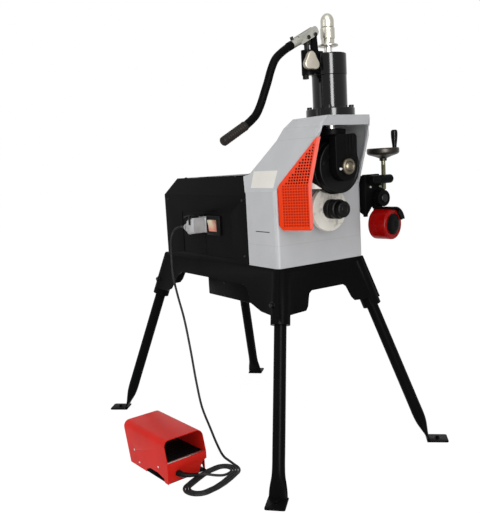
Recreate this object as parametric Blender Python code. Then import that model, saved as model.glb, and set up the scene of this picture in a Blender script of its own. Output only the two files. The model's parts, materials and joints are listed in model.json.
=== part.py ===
# Pipe grooving machine: a hand hydraulic ram presses a grooving roll onto a pipe that a motor turns.
# X runs to the right seen from the front, Y to the back, Z up. All sizes are in metres.

import math

import bmesh
import bpy
from mathutils import Matrix, Vector

gap = 0.0003
running_fit = 0.0003

# Facets round a large, a middle and a small turned face
large_round = 26
middle_round = 16
small_round = 10

# Stand: a deck on four splayed tube legs
deck_top = 0.634
deck_plate = 0.005
deck_half_width = 0.176
deck_front = -0.366
deck_rear = 0.353
apron_height = 0.163
apron_wall = 0.005
leg_radius = 0.019
leg_slope_x = 0.2748
leg_slope_y = 0.2553
foot_x = 0.3216
foot_y = 0.5032
foot_length = 0.062
foot_half_width = 0.030
foot_corner = 0.007
foot_thickness = 0.005
leg_drop = 0.028
leg_top = deck_top - leg_drop
socket_radius = 0.0305
control_half_width = 0.120
control_front = -0.150
control_rear = 0.140
control_depth = 0.147
control_bottom = deck_top - control_depth

# Front housing: a sheet shell that narrows above its side fold and leans forward to the head
housing_wall = 0.006
housing_depth = 0.152
housing_rear = deck_front + housing_depth
side_height = 0.234
side_fold = deck_top + side_height
front_height = 0.241
front_fold = deck_top + front_height
brow_rise = 0.145
brow = front_fold + brow_rise
brow_half_width = 0.106
brow_reach = 0.116
brow_front = deck_front - brow_reach
head_rise = 0.060
head_top = brow + head_rise
head_half_width = 0.098
head_reach = 0.025
head_front = brow_front - head_reach
head_depth = 0.157
head_rear = head_front + head_depth
throat_sill = 0.010
throat_low = front_fold + throat_sill
throat_rise = 0.032
throat_high = brow + throat_rise
throat_strip = 0.011
corner_radius = 0.012
roof_clearance = 0.008
wall_clearance = 0.006

# Motor cover
cover_wall = 0.004
cover_setback = 0.015
cover_rear = deck_rear - cover_setback
cover_height = 0.223
cover_fold = deck_top + cover_height
cover_shoulder = cover_fold + 0.005
cover_crown = 0.058
cover_top = cover_fold + cover_crown
cover_side_inset = 0.022
cover_rear_inset = 0.068
cover_overlap = 0.040
cover_lip = housing_rear + cover_overlap
hip_y = cover_lip - 0.031
hip_z = cover_top + 0.007
panel_front = -0.124
panel_rear = 0.201
panel_edge = 0.012
panel_height = 0.163
panel_depth = 0.0015

# Head frame: the casting that holds the ram, the slide and the spindle
column_half_width = 0.075
column_setback = 0.011
column_front = deck_front + column_setback
column_clearance = 0.021
column_rear = housing_rear - column_clearance
arm_thickness = 0.018
arm_setback = 0.029
arm_front = head_front + arm_setback

# Rolling tools
spindle_rise = 0.170
spindle_height = deck_top + spindle_rise
spindle_radius = 0.020
spindle_nose_radius = 0.016
spindle_flange_radius = 0.028
spindle_tail = 0.029
spindle_rear = column_rear + spindle_tail
bearing_radius = 0.035
bearing_width = 0.018
disc_reach = 0.045
disc_front = deck_front - disc_reach
disc_thickness = 0.016
disc_radius = 0.069
drive_roll_radius = 0.030
drive_roll_length = 0.044
drive_roll_step = disc_front - drive_roll_length
drive_roll_end_radius = 0.025
drive_roll_end = 0.021
drive_roll_front = drive_roll_step - drive_roll_end
groove_distance = 0.023
groove_centre = disc_front - groove_distance
groove_half_width = 0.0045
groove_depth = 0.003
upper_roll_radius = 0.0795
upper_roll_rib = 0.0025
nip = 0.015
upper_roll_height = spindle_height + drive_roll_radius + upper_roll_rib + upper_roll_radius + nip
roll_ahead = 0.0285
upper_roll_front = groove_centre - roll_ahead
roll_behind = 0.022
upper_roll_rear = groove_centre + roll_behind

# Slide that carries the upper roll
slide_half_width = 0.043
slide_cheek = 0.0305
slide_front = upper_roll_front - slide_cheek
slide_back = 0.032
slide_rear = upper_roll_rear + slide_back
slide_crown = 0.096
slide_top = upper_roll_height + slide_crown
slide_corner = 0.012
rib_start = 0.016
rib_width = 0.006
rib_depth = 0.002
rib_rise = 0.035
roll_clearance = 0.004
fork_clearance = 0.0015
tongue_half_width = 0.025
tongue_depth = 0.045
tongue_rear = slide_rear + tongue_depth
tongue_drop = 0.026
tongue_low = upper_roll_height - tongue_drop
boss_radius = 0.043
boss_height = 0.016
roll_shaft_radius = 0.0125
shaft_nut_radius = 0.024
shaft_nut_thickness = 0.012

# Hand ram
ram_setback = 0.006
ram_y = groove_centre + ram_setback
flange_radius = 0.0725
flange_thickness = 0.023
flange_top = head_top + flange_thickness
cylinder_radius = 0.0515
cylinder_bore = 0.040
bore_below_flange = 0.008
cylinder_floor = flange_top - bore_below_flange
cylinder_height = 0.097
cylinder_top = flange_top + cylinder_height
reservoir_radius = 0.0525
reservoir_height = 0.062
reservoir_top = cylinder_top + reservoir_height
reservoir_wall = 0.0055
reservoir_end = 0.008
rod_radius = 0.0125
stem_radius = 0.012
spring_length = 0.055
piston_low = cylinder_floor + spring_length
piston_thickness = 0.025
nut_clearance = 0.022
nut_low = reservoir_top + nut_clearance
nut_ring_radius = 0.030
nut_ring_thickness = 0.012
nut_radius = 0.021
nut_height = 0.054
nut_top = nut_low + nut_height
cap_radius = 0.0195
cap_height = 0.041
cap_top = nut_top + cap_height

# Pump and its lever, in the ram's plane
pump_offset = 0.0295
pump_x = -reservoir_radius - pump_offset
pump_radius = 0.0175
pump_low = cylinder_top
pump_crown = 0.008
plunger_radius = 0.008
plunger_lift = 0.025
plunger_low = pump_low + plunger_lift
lever_throw = 0.026
fulcrum_x = pump_x + lever_throw
fulcrum_rise = 0.052
fulcrum_z = reservoir_top + fulcrum_rise
plunger_pin_drop = 0.009
plunger_pin_z = fulcrum_z - plunger_pin_drop
pin_radius = 0.0045
fork_gap = 0.012
fork_width = 0.022
fork_depth = 0.026
lever_radius = 0.0115
grip_radius = 0.0135
grip_depth = 0.0705
grip_core = 0.008
socket_right = Vector((fulcrum_x + 0.010, ram_y, fulcrum_z + 0.015))
socket_left = Vector((pump_x - 0.056, ram_y, plunger_pin_z - 0.023))
grip_start = socket_left + Vector((-0.173, 0, -0.222))
grip_end = socket_left + Vector((-0.255, 0, -0.267))
knob_x = pump_x - 0.009
knob_z = pump_low + 0.034
knob_radius = 0.029
knob_thickness = 0.014

# Drive train
gear_module = 0.0030
bull_teeth = 32
pinion_teeth = 16
gear_thickness = 0.020
gear_setback = 0.024
gear_rear = column_rear + gear_setback
pinion_shaft_radius = 0.010
gearbox_setback = 0.035
gearbox_front = column_rear + gearbox_setback
gearbox_length = 0.120
gearbox_rear = gearbox_front + gearbox_length
gearbox_half_width = 0.060
gearbox_height = 0.156
gearbox_top = deck_top + gearbox_height
motor_radius = 0.062
motor_length = 0.210
motor_rear = gearbox_rear + motor_length

# Throat guard
guard_seat = 0.0015
guard_corner_x = -deck_half_width + guard_seat
guard_corner_y = deck_front - guard_seat
guard_lean = math.radians(61.5)
guard_thickness = 0.0025
guard_rise = 0.116
guard_low = deck_top + guard_rise
guard_length = 0.107
guard_top_length = 0.137
guard_tab = 0.016
guard_hole = 0.0060
guard_pitch = 0.0115

# Stabiliser on the right side
bracket_reach = 0.019
bracket_front = deck_front - bracket_reach
bracket_depth = 0.085
bracket_rear = bracket_front + bracket_depth
bracket_plate = 0.012
bracket_rise = 0.024
bracket_top = front_fold + bracket_rise
crossbar_ahead = 0.015
crossbar_y = bracket_front - crossbar_ahead
crossbar_drop = 0.018
crossbar_z = bracket_top - crossbar_drop
crossbar_radius = 0.0143
screw_reach = 0.071
screw_x = deck_half_width + screw_reach
crossbar_end = screw_x + 0.036
screw_radius = 0.007
screw_tip = crossbar_z - 0.036
collar_rise = 0.051
collar_z = crossbar_z + collar_rise
collar_radius = 0.0125
collar_height = 0.023
handwheel_radius = 0.052
handwheel_low = collar_z + collar_height
handwheel_height = 0.026
handwheel_top = handwheel_low + handwheel_height
crank_offset = 0.038
crank_length = 0.057
crank_top = handwheel_top + crank_length
crank_radius = 0.011
hub_x = screw_x - 0.015
hub_drop = 0.061
hub_z = crossbar_z - hub_drop
hub_radius = 0.027
hub_front = bracket_front - 0.0295
arm_pin_radius = 0.008
roller_yaw = math.radians(9.7)
roller_far = Vector((hub_x - 0.024, crossbar_y, hub_z - 0.082))
roller_radius = 0.049
roller_length = 0.065
roller_axle_radius = 0.008

# Switch and plug on the left side of the cover
switch_y = -0.0160
switch_rise = 0.1185
switch_z = deck_top + switch_rise
rocker_front = 0.0205
rocker_rear = 0.0295
rocker_clearance = 0.001
rocker_pocket = 0.0215
rocker_tilt = math.radians(8.9)
plug_y = 0.026
plug_z = switch_z + 0.0025
plug_out = 0.060
plug_base_out = 0.0095
gland_x = -deck_half_width - 0.039
cord_radius = 0.004

# Foot pedal, turned a little on the floor
pedal_corner = Vector((-0.520, -0.214, 0.0))
pedal_turn = math.radians(3.55)
pedal_width = 0.145
pedal_length = 0.264
pedal_height = 0.1335
pedal_wall = 0.0025
pedal_shoulder = 0.020
pedal_mouth_lean = 0.018
pedal_sill = 0.066
pedal_base_plate = 0.004
pedal_pin_y = 0.205
pedal_pin_z = 0.050
pedal_pin_radius = 0.004


def clear_scene():
    for item in list(bpy.data.objects):
        bpy.data.objects.remove(item, do_unlink=True)


def paint(name, colour, roughness, metallic=0.0):
    """A Principled material of one colour."""
    material = bpy.data.materials.new(name)
    material.use_nodes = True
    shader = material.node_tree.nodes["Principled BSDF"]
    shader.inputs["Base Color"].default_value = (*colour, 1.0)
    shader.inputs["Roughness"].default_value = roughness
    shader.inputs["Metallic"].default_value = metallic
    return material


def solid(name, bm):
    """Turns a bmesh into an object with its faces pointing out."""
    bmesh.ops.recalc_face_normals(bm, faces=bm.faces)
    mesh = bpy.data.meshes.new(name)
    bm.to_mesh(mesh)
    bm.free()
    piece = bpy.data.objects.new(name, mesh)
    bpy.context.scene.collection.objects.link(piece)
    return piece


def loft(name, sections, closed=False):
    """Joins sections of equal point counts; closed also joins the last to the first."""
    bm = bmesh.new()
    rings = [[bm.verts.new(point) for point in section] for section in sections]
    pairs = list(zip(rings, rings[1:]))
    if closed:
        pairs.append((rings[-1], rings[0]))
    else:
        bm.faces.new(rings[0])
        bm.faces.new(rings[-1])
    for low, high in pairs:
        count = len(low)
        for i in range(count):
            j = (i + 1) % count
            bm.faces.new((low[i], low[j], high[j], high[i]))
    return solid(name, bm)


def plate(name, outline, axis, low, high):
    """Extrudes an outline: of (y, z) along X, of (x, z) along Y or of (x, y) along Z."""
    spread = {
        "X": lambda a, b, h: (h, a, b),
        "Y": lambda a, b, h: (a, h, b),
        "Z": lambda a, b, h: (a, b, h),
    }[axis]
    return loft(name, [[spread(a, b, h) for a, b in outline] for h in (low, high)])


def block(name, xs, ys, zs):
    outline = [(xs[0], ys[0]), (xs[1], ys[0]), (xs[1], ys[1]), (xs[0], ys[1])]
    return plate(name, outline, "Z", *zs)


def frame_of(axis):
    """Two directions square to an axis."""
    axis = Vector(axis).normalized()
    helper = Vector((1, 0, 0)) if abs(axis.x) < 0.9 else Vector((0, 1, 0))
    side = axis.cross(helper).normalized()
    return axis, side, axis.cross(side)


def turned(name, profile, centre, axis, sides=middle_round, ring=False):
    """Turns a profile of (radius, distance along the axis); a ring profile is a closed loop."""
    axis, side, up = frame_of(axis)
    centre = Vector(centre)
    bm = bmesh.new()
    rings = []
    for radius, along in profile:
        middle = centre + axis * along
        if radius == 0:
            rings.append([bm.verts.new(middle)])
            continue
        turn = [2 * math.pi * i / sides for i in range(sides)]
        rings.append([bm.verts.new(middle + (side * math.cos(a) + up * math.sin(a)) * radius) for a in turn])
    pairs = list(zip(rings, rings[1:]))
    if ring:
        pairs.append((rings[-1], rings[0]))
    for low, high in pairs:
        for i in range(sides):
            j = (i + 1) % sides
            corners = [low[i % len(low)], low[j % len(low)], high[j % len(high)], high[i % len(high)]]
            corners = [v for k, v in enumerate(corners) if v not in corners[:k]]
            if len(corners) > 2:
                bm.faces.new(corners)
    return solid(name, bm)


def rod(name, start, end, radius, sides=small_round, end_radius=None):
    start = Vector(start)
    end = Vector(end)
    length = (end - start).length
    tip = radius if end_radius is None else end_radius
    return turned(name, [(0, 0), (radius, 0), (tip, length), (0, length)], start, end - start, sides)


def tube(name, low, high, inner, outer, centre, axis, sides=middle_round):
    profile = [(inner, low), (outer, low), (outer, high), (inner, high)]
    return turned(name, profile, centre, axis, sides, ring=True)


def swept(name, points, radii, sides=small_round):
    """A round bar along points, with a frame that doesn't twist."""
    points = [Vector(p) for p in points]
    count = len(points)
    tangents = []
    for i in range(count):
        tangents.append((points[min(i + 1, count - 1)] - points[max(i - 1, 0)]).normalized())
    side = frame_of(tangents[0])[1]
    sections = []
    for point, tangent, radius in zip(points, tangents, radii):
        side = (side - tangent * side.dot(tangent)).normalized()
        up = tangent.cross(side)
        turn = [2 * math.pi * k / sides for k in range(sides)]
        sections.append([point + (side * math.cos(a) + up * math.sin(a)) * radius for a in turn])
    return loft(name, sections)


def arc(centre, radius, start, end, steps):
    """Points on an arc, angles in degrees."""
    points = []
    for i in range(steps + 1):
        angle = math.radians(start + (end - start) * i / steps)
        points.append((centre[0] + radius * math.cos(angle), centre[1] + radius * math.sin(angle)))
    return points


def smooth_curve(points, per_span):
    """Points read from a smooth curve through the given points."""
    points = [Vector(p) for p in points]
    ends = [points[0] * 2 - points[1], *points, points[-1] * 2 - points[-2]]
    found = []
    for a, b, c, d in zip(ends, ends[1:], ends[2:], ends[3:]):
        for i in range(per_span):
            t = i / per_span
            bend = (2 * a - 5 * b + 4 * c - d) * t**2 + (3 * b - a - 3 * c + d) * t**3
            found.append((2 * b + (c - a) * t + bend) / 2)
    found.append(points[-1])
    return found


def combine(piece, other, operation):
    change = piece.modifiers.new(operation.title(), "BOOLEAN")
    change.object = other
    change.operation = operation
    change.solver = "EXACT"
    graph = bpy.context.evaluated_depsgraph_get()
    shape = bpy.data.meshes.new_from_object(piece.evaluated_get(graph))
    piece.modifiers.clear()
    piece.data = shape
    bpy.data.objects.remove(other, do_unlink=True)


def carve(piece, *cutters):
    for cutter in cutters:
        combine(piece, cutter, "DIFFERENCE")
    return piece


def weld(piece, *others):
    for other in others:
        combine(piece, other, "UNION")
    return piece


def gather(pieces):
    """Puts pieces that don't touch into one object, as one cutter or one group."""
    bm = bmesh.new()
    for piece in pieces:
        bm.from_mesh(piece.data)
        bpy.data.objects.remove(piece, do_unlink=True)
    return solid("group", bm)


def common(piece, other):
    combine(piece, other, "INTERSECT")
    return piece


def soften(piece, width, segments=2, angle=35):
    """Rounds the sharp edges."""
    change = piece.modifiers.new("Bevel", "BEVEL")
    change.width = width
    change.segments = segments
    change.limit_method = "ANGLE"
    change.angle_limit = math.radians(angle)
    graph = bpy.context.evaluated_depsgraph_get()
    shape = bpy.data.meshes.new_from_object(piece.evaluated_get(graph))
    piece.modifiers.clear()
    piece.data = shape
    return piece


def place(piece, name, material, parent, origin=(0, 0, 0)):
    """Names a piece, paints it and gives it its origin and its parent."""
    origin = Vector(origin)
    piece.name = name
    piece.data.name = name
    piece.data.materials.clear()
    piece.data.materials.append(material)
    piece.data.transform(Matrix.Translation(-origin))
    piece.data.shade_smooth()
    piece.data.set_sharp_from_angle(angle=math.radians(35))
    piece.parent = parent
    held = Vector((0, 0, 0))
    above = parent
    while above:
        held += above.location
        above = above.parent
    piece.location = origin - held
    return piece


def move_all(piece, matrix):
    piece.data.transform(matrix)
    return piece


# Stand


def leg_axis(z, side, end):
    """The middle of a leg at a height; side is -1 left and 1 right, end is -1 front and 1 rear."""
    return Vector((side * (foot_x - leg_slope_x * z), end * (foot_y - leg_slope_y * z), z))


def apron_section(z, inset):
    """The deck's plan at a height; the apron flares out with the legs."""
    drop = deck_top - z
    half = deck_half_width + leg_slope_x * drop - inset
    front = deck_front - leg_slope_y * drop + inset
    rear = deck_rear + leg_slope_y * drop - inset
    return [(-half, front, z), (half, front, z), (half, rear, z), (-half, rear, z)]


def build_base_frame():
    apron_bottom = deck_top - apron_height
    below = apron_bottom - 0.01
    frame = loft("frame", [apron_section(apron_bottom, 0), apron_section(deck_top, 0)])
    hollow = loft(
        "hollow", [apron_section(below, apron_wall), apron_section(deck_top - deck_plate, apron_wall)]
    )
    carve(frame, hollow)
    wide = deck_half_width + 0.124
    front_rise = [(wide, 0.017), (deck_half_width - 0.029, 0.027), (deck_half_width - 0.073, 0.029)]
    front_rise += [(deck_half_width - 0.084, 0.041), (deck_half_width - 0.098, 0.077)]
    front_rise += [(deck_half_width - 0.110, 0.085)]
    front_arch = [(x, apron_bottom + rise) for x, rise in front_rise]
    front_cut = [(-wide, below - 0.02), (wide, below - 0.02), *front_arch]
    front_cut += [(-x, z) for x, z in reversed(front_arch)]
    far = deck_rear + 0.147
    near = deck_front - 0.134
    side_rise = [(far, 0.009), (deck_rear - 0.044, 0.015), (deck_rear - 0.091, 0.033)]
    side_rise += [(deck_rear - 0.121, 0.084), (deck_rear - 0.148, 0.101), (deck_front + 0.171, 0.101)]
    side_rise += [(deck_front + 0.144, 0.089), (deck_front + 0.113, 0.050), (deck_front + 0.051, 0.032)]
    side_rise += [(near, 0.017)]
    side_cut = [(near, below - 0.02), (far, below - 0.02)]
    side_cut += [(y, apron_bottom + rise) for y, rise in side_rise]
    carve(frame, plate("front cut", front_cut, "Y", near, far))
    carve(frame, plate("side cut", side_cut, "X", -wide, wide))
    corners = [(side, end) for side in (-1, 1) for end in (-1, 1)]
    sockets = []
    bores = []
    for side, end in corners:
        low = leg_axis(apron_bottom - 0.003, side, end)
        high = leg_axis(leg_top + 0.012, side, end)
        sockets.append(rod("socket", low, high, socket_radius, middle_round))
        low = leg_axis(apron_bottom - 0.05, side, end)
        high = leg_axis(leg_top + 0.0015, side, end)
        bores.append(rod("bore", low, high, leg_radius + gap, middle_round))
    weld(frame, gather(sockets))
    return carve(frame, gather(bores))


def build_leg(side, end):
    """A tube whose lower end is flattened and bent out to a pad on the floor."""
    out = Vector((side * leg_slope_x, end * leg_slope_y, 0)).normalized()
    across = Vector((-out.y, out.x, 0))
    down = (leg_axis(0, side, end) - leg_axis(1, side, end)).normalized()
    thick = down.cross(across).normalized()
    stations = [
        (leg_top, leg_radius, leg_radius),
        (0.085, leg_radius, leg_radius),
        (0.060, 0.0205, 0.0165),
        (0.040, 0.0245, 0.0115),
        (0.022, 0.0270, 0.0065),
        (0.0025, foot_half_width - 0.002, 0.0034),
    ]
    sections = []
    for z, half_width, half_thick in stations:
        middle = leg_axis(z, side, end)
        turn = [2 * math.pi * k / middle_round for k in range(middle_round)]
        sections.append(
            [middle + across * (half_width * math.cos(a)) + thick * (half_thick * math.sin(a)) for a in turn]
        )
    leg = loft("leg", sections)
    start = leg_axis(0, side, end) - out * 0.008
    outline = []
    tip = foot_length + 0.008 - foot_corner
    edge = foot_half_width - foot_corner
    toe = arc((tip, -edge), foot_corner, -90, 0, 3) + arc((tip, edge), foot_corner, 0, 90, 3)
    for along, aside in [(0, -foot_half_width), *toe, (0, foot_half_width)]:
        point = start + out * along + across * aside
        outline.append((point.x, point.y))
    weld(leg, plate("pad", outline, "Z", 0, foot_thickness))
    floor = block("floor", (-1, 1), (-1, 1), (-0.1, 0))
    return carve(leg, floor)


def build_control_box():
    box = block(
        "box",
        (-control_half_width, control_half_width),
        (control_front, control_rear),
        (control_bottom, deck_top - deck_plate - gap),
    )
    return soften(box, 0.004, 2)


# Body shells


def housing_width(z):
    if z <= side_fold:
        return deck_half_width
    if z <= brow:
        return deck_half_width + (brow_half_width - deck_half_width) * (z - side_fold) / (brow - side_fold)
    return brow_half_width + (head_half_width - brow_half_width) * (z - brow) / (head_top - brow)


def housing_front(z):
    if z <= front_fold:
        return deck_front
    if z <= brow:
        return deck_front + (brow_front - deck_front) * (z - front_fold) / (brow - front_fold)
    return brow_front + (head_front - brow_front) * (z - brow) / (head_top - brow)


def housing_section(z, shape_z, inset, rear):
    """One level of the front housing, with rounded front corners that turn into chamfers at the top."""
    half = housing_width(shape_z) - inset * (1.1 if shape_z > side_fold else 1.0)
    front = housing_front(shape_z) + inset * (1.28 if shape_z > front_fold else 1.0)
    if shape_z < front_fold:
        across = max(corner_radius - inset, 0.003)
        along = across
    elif shape_z < throat_high:
        across = 0.004
        along = 0.006
    else:
        across = 0.016
        along = 0.026
    corner = []
    for i in range(5):
        angle = math.pi / 2 * i / 4
        corner.append((half - across + across * math.sin(angle), front + along - along * math.cos(angle)))
    points = [(-x, y, z) for x, y in reversed(corner)]
    points += [(x, y, z) for x, y in corner]
    return [(-half, rear, z), *points, (half, rear, z)]


def housing_body(inset, bottom, rear):
    levels = [(bottom, deck_top), (side_fold, side_fold), (front_fold, front_fold), (brow, brow)]
    levels += [(throat_high, throat_high), (head_top - inset, head_top - inset)]
    return loft("housing", [housing_section(z, shape_z, inset, rear) for z, shape_z in levels])


def build_front_housing():
    body_low = deck_top + gap
    shell = housing_body(0, body_low, housing_rear + 0.114)
    ahead = head_front - 0.093
    rear_line = [
        (ahead, body_low - 0.01),
        (ahead, head_top + 0.01),
        (head_rear, head_top + 0.01),
        (head_rear, head_top),
        (hip_y, hip_z),
        (cover_lip, cover_top + 0.001),
        (housing_rear, cover_shoulder),
        (housing_rear, body_low - 0.01),
    ]
    common(shell, plate("rear line", rear_line, "X", -0.4, 0.4))
    room = housing_body(housing_wall, body_low - 0.02, housing_rear + 0.164)
    lower = housing_wall * 1.1
    room_line = [
        (ahead, body_low - 0.03),
        (ahead, head_top),
        (head_rear - housing_wall * 0.5, head_top),
        (hip_y - housing_wall * 0.5, hip_z - lower),
        (cover_lip + 0.05, cover_top - lower),
        (cover_lip + 0.05, body_low - 0.03),
    ]
    common(room, plate("room line", room_line, "X", -0.4, 0.4))
    carve(shell, room)
    strip = throat_strip
    throat = [
        (-(housing_width(throat_low) - strip), throat_low),
        (housing_width(throat_low) - strip, throat_low),
        (housing_width(brow) - strip, brow),
        (housing_width(throat_high) - strip, throat_high),
        (-(housing_width(throat_high) - strip), throat_high),
        (-(housing_width(brow) - strip), brow),
    ]
    carve(shell, plate("throat", throat, "Y", ahead, deck_front + housing_wall + 0.006))
    roof = (on_ram(head_top - 0.08), on_ram(head_top + 0.12))
    carve(shell, rod("ram hole", *roof, rod_radius + roof_clearance, middle_round))
    nose = (0, deck_front - 0.05, spindle_height)
    inside = (0, deck_front + 0.02, spindle_height)
    carve(shell, rod("spindle hole", nose, inside, spindle_flange_radius + wall_clearance, middle_round))
    return shell


def cover_section(z, inset):
    """One level of the motor cover, with rounded rear corners."""
    rise = max(0.0, (z - cover_fold) / (cover_top - cover_fold))
    half = deck_half_width - cover_side_inset * rise - inset
    rear = cover_rear - cover_rear_inset * rise - inset
    lean = max(0.0, (z - cover_shoulder) / (cover_top - cover_shoulder))
    front = housing_rear + gap + (cover_lip - housing_rear) * lean
    if inset:
        front -= 0.02
    radius = 0.014 - inset
    corner = arc((half - radius, rear - radius), radius, 0, 90, 4)
    points = [(-half, front), (half, front), *corner]
    points += [(-x, y) for x, y in reversed(corner)]
    return [(x, y, z) for x, y in points]


def build_motor_cover():
    low = deck_top + gap
    levels = [low, cover_fold, cover_shoulder, cover_top]
    shell = loft("cover", [cover_section(z, 0) for z in levels])
    room = loft("room", [cover_section(z, cover_wall) for z in (low - 0.02, cover_fold, cover_shoulder)])
    top = [cover_section(z, cover_wall) for z in (cover_shoulder - 0.001, cover_top - cover_wall)]
    weld(room, loft("room top", top))
    carve(shell, room)
    side = -deck_half_width
    panel_z = (low + panel_edge, deck_top + panel_height)
    panel = block("panel", (side - 0.01, side + panel_depth), (panel_front, panel_rear), panel_z)
    carve(shell, panel)
    window_y = (switch_y - 0.0345, switch_y + 0.0345)
    window = block("window", (side - 0.01, side + 0.02), window_y, (switch_z - 0.0245, switch_z + 0.0245))
    carve(shell, window)
    return shell


# Inner works


def build_head_frame():
    low = deck_top + gap
    arm_top = head_top - housing_wall - gap
    wide = (-column_half_width, column_half_width)
    column = block("column", wide, (column_front, column_rear), (low, brow))
    neck = [
        (column_front, brow - 0.020),
        (column_front, arm_top - arm_thickness),
        (arm_front, arm_top - arm_thickness),
        (arm_front, arm_top),
        (column_front - 0.010, arm_top),
        (column_front + 0.050, brow - 0.020),
    ]
    half = column_half_width - 0.001
    weld(column, plate("arm", neck, "X", -half, half))
    ahead = arm_front - 0.122
    crest = column_front - 0.015
    behind = column_rear + 0.135
    under = deck_top - 0.134
    top_line = [(ahead, under), (ahead, arm_top + 0.1), (crest, arm_top + 0.1), (crest, arm_top)]
    top_line += [(hip_y - 0.0167, hip_z - 0.017), (behind, hip_z - 0.037), (behind, under)]
    common(column, plate("top line", top_line, "X", -0.3, 0.3))
    foot_half = column_half_width + 0.035
    foot = block("foot", (-foot_half, foot_half), (column_front, column_rear), (low, low + 0.020))
    weld(column, foot)
    channel = block(
        "channel",
        (-tongue_half_width - gap, tongue_half_width + gap),
        (column_front - 0.01, tongue_rear + gap),
        (throat_low + 0.004, arm_top - arm_thickness),
    )
    carve(column, channel)
    front = (0, column_front - 0.01, spindle_height)
    rear = (0, column_rear + 0.01, spindle_height)
    carve(column, rod("bore", front, rear, bearing_radius, large_round))
    roof = (on_ram(head_top - 0.08), on_ram(head_top + 0.12))
    carve(column, rod("rod bore", *roof, rod_radius + running_fit, middle_round))
    return column


def gear_outline(teeth, centre, first):
    """Involute teeth with backlash; first is the angle of a tooth's middle, in degrees."""
    pressure = math.radians(20)
    pitch = gear_module * teeth / 2
    base = pitch * math.cos(pressure)
    tip = pitch + gear_module * 0.85
    root = pitch - gear_module * 1.15
    backlash = 0.0004
    half = math.pi / (2 * teeth) - backlash / (2 * pitch) + math.tan(pressure) - pressure
    lean = math.acos(base / tip)
    half_tip = half - (math.tan(lean) - lean)
    outline = []
    for i in range(teeth):
        middle = math.radians(first) + 2 * math.pi * i / teeth
        for radius, angle in ((root, -half), (tip, -half_tip), (tip, half_tip), (root, half)):
            outline.append(
                (centre[0] + radius * math.cos(middle + angle), centre[1] + radius * math.sin(middle + angle))
            )
    return outline


pinion_height = spindle_height - gear_module * (bull_teeth + pinion_teeth) / 2


def build_bull_gear():
    outline = gear_outline(bull_teeth, (0, spindle_height), -90)
    gear = plate("gear", outline, "Y", gear_rear - gear_thickness, gear_rear)
    middle = (0, gear_rear - gear_thickness - 0.01, spindle_height)
    end = (0, gear_rear + 0.01, spindle_height)
    return carve(gear, rod("bore", middle, end, spindle_radius + gap, large_round))


def build_pinion_shaft():
    outline = gear_outline(pinion_teeth, (0, pinion_height), 90 + 180 / pinion_teeth)
    gear = plate("pinion", outline, "Y", gear_rear - gear_thickness, gear_rear)
    start = (0, gear_rear - gear_thickness - 0.002, pinion_height)
    shaft = rod("shaft", start, (0, gearbox_front + 0.050, pinion_height), pinion_shaft_radius, middle_round)
    return weld(gear, shaft)


def build_gearbox():
    low = deck_top + gap
    wide = (-gearbox_half_width, gearbox_half_width)
    box = block("gearbox", wide, (gearbox_front, gearbox_rear), (low, gearbox_top))
    soften(box, 0.010, 2)
    foot_half = gearbox_half_width + 0.030
    foot_y = (gearbox_front + 0.004, gearbox_rear - 0.004)
    foot = block("foot", (-foot_half, foot_half), foot_y, (low, low + 0.012))
    weld(box, foot)
    middle = (0, gearbox_front - 0.01, pinion_height)
    end = (0, gearbox_front + 0.0505, pinion_height)
    return carve(box, rod("bore", middle, end, pinion_shaft_radius + running_fit, middle_round))


def build_motor():
    length = motor_rear - gearbox_rear - gap
    profile = [
        (0, 0),
        (motor_radius - 0.004, 0),
        (motor_radius - 0.004, 0.014),
        (motor_radius, 0.016),
        (motor_radius, length - 0.045),
        (motor_radius - 0.003, length - 0.045),
        (motor_radius - 0.003, length - 0.008),
        (motor_radius - 0.012, length),
        (0, length),
    ]
    height = deck_top + motor_radius + 0.012
    motor = turned("motor", profile, (0, gearbox_rear + gap, height), (0, 1, 0), middle_round)
    feet = [(-motor_radius, deck_top + gap), (motor_radius, deck_top + gap)]
    feet += [(motor_radius - 0.010, deck_top + 0.012), (motor_radius - 0.032, height - 0.03)]
    feet += [(-x, z) for x, z in reversed(feet[2:])]
    return weld(motor, plate("feet", feet, "Y", gearbox_rear + 0.040, gearbox_rear + 0.120))


def build_spindle():
    nose_end = drive_roll_front + 0.012
    flange_front = disc_front + disc_thickness + gap
    profile = [
        (0, 0),
        (spindle_nose_radius, 0),
        (spindle_nose_radius, flange_front - nose_end),
        (spindle_flange_radius, flange_front - nose_end),
        (spindle_flange_radius, column_front - 0.006 - nose_end),
        (spindle_radius, column_front - 0.006 - nose_end),
        (spindle_radius, spindle_rear - nose_end),
        (0, spindle_rear - nose_end),
    ]
    return turned("spindle", profile, (0, nose_end, spindle_height), (0, 1, 0), large_round)


def build_bearing(front):
    inner = spindle_radius + running_fit
    outer = bearing_radius - gap
    middle = (0, 0, spindle_height)
    return tube("bearing", front, front + bearing_width, inner, outer, middle, (0, 1, 0), large_round)


def build_backing_disc():
    profile = [
        (spindle_nose_radius + gap, disc_front),
        (disc_radius - 0.003, disc_front),
        (disc_radius, disc_front + 0.003),
        (disc_radius, disc_front + disc_thickness),
        (spindle_nose_radius + gap, disc_front + disc_thickness),
    ]
    return turned("disc", profile, (0, 0, spindle_height), (0, 1, 0), large_round, ring=True)


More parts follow.
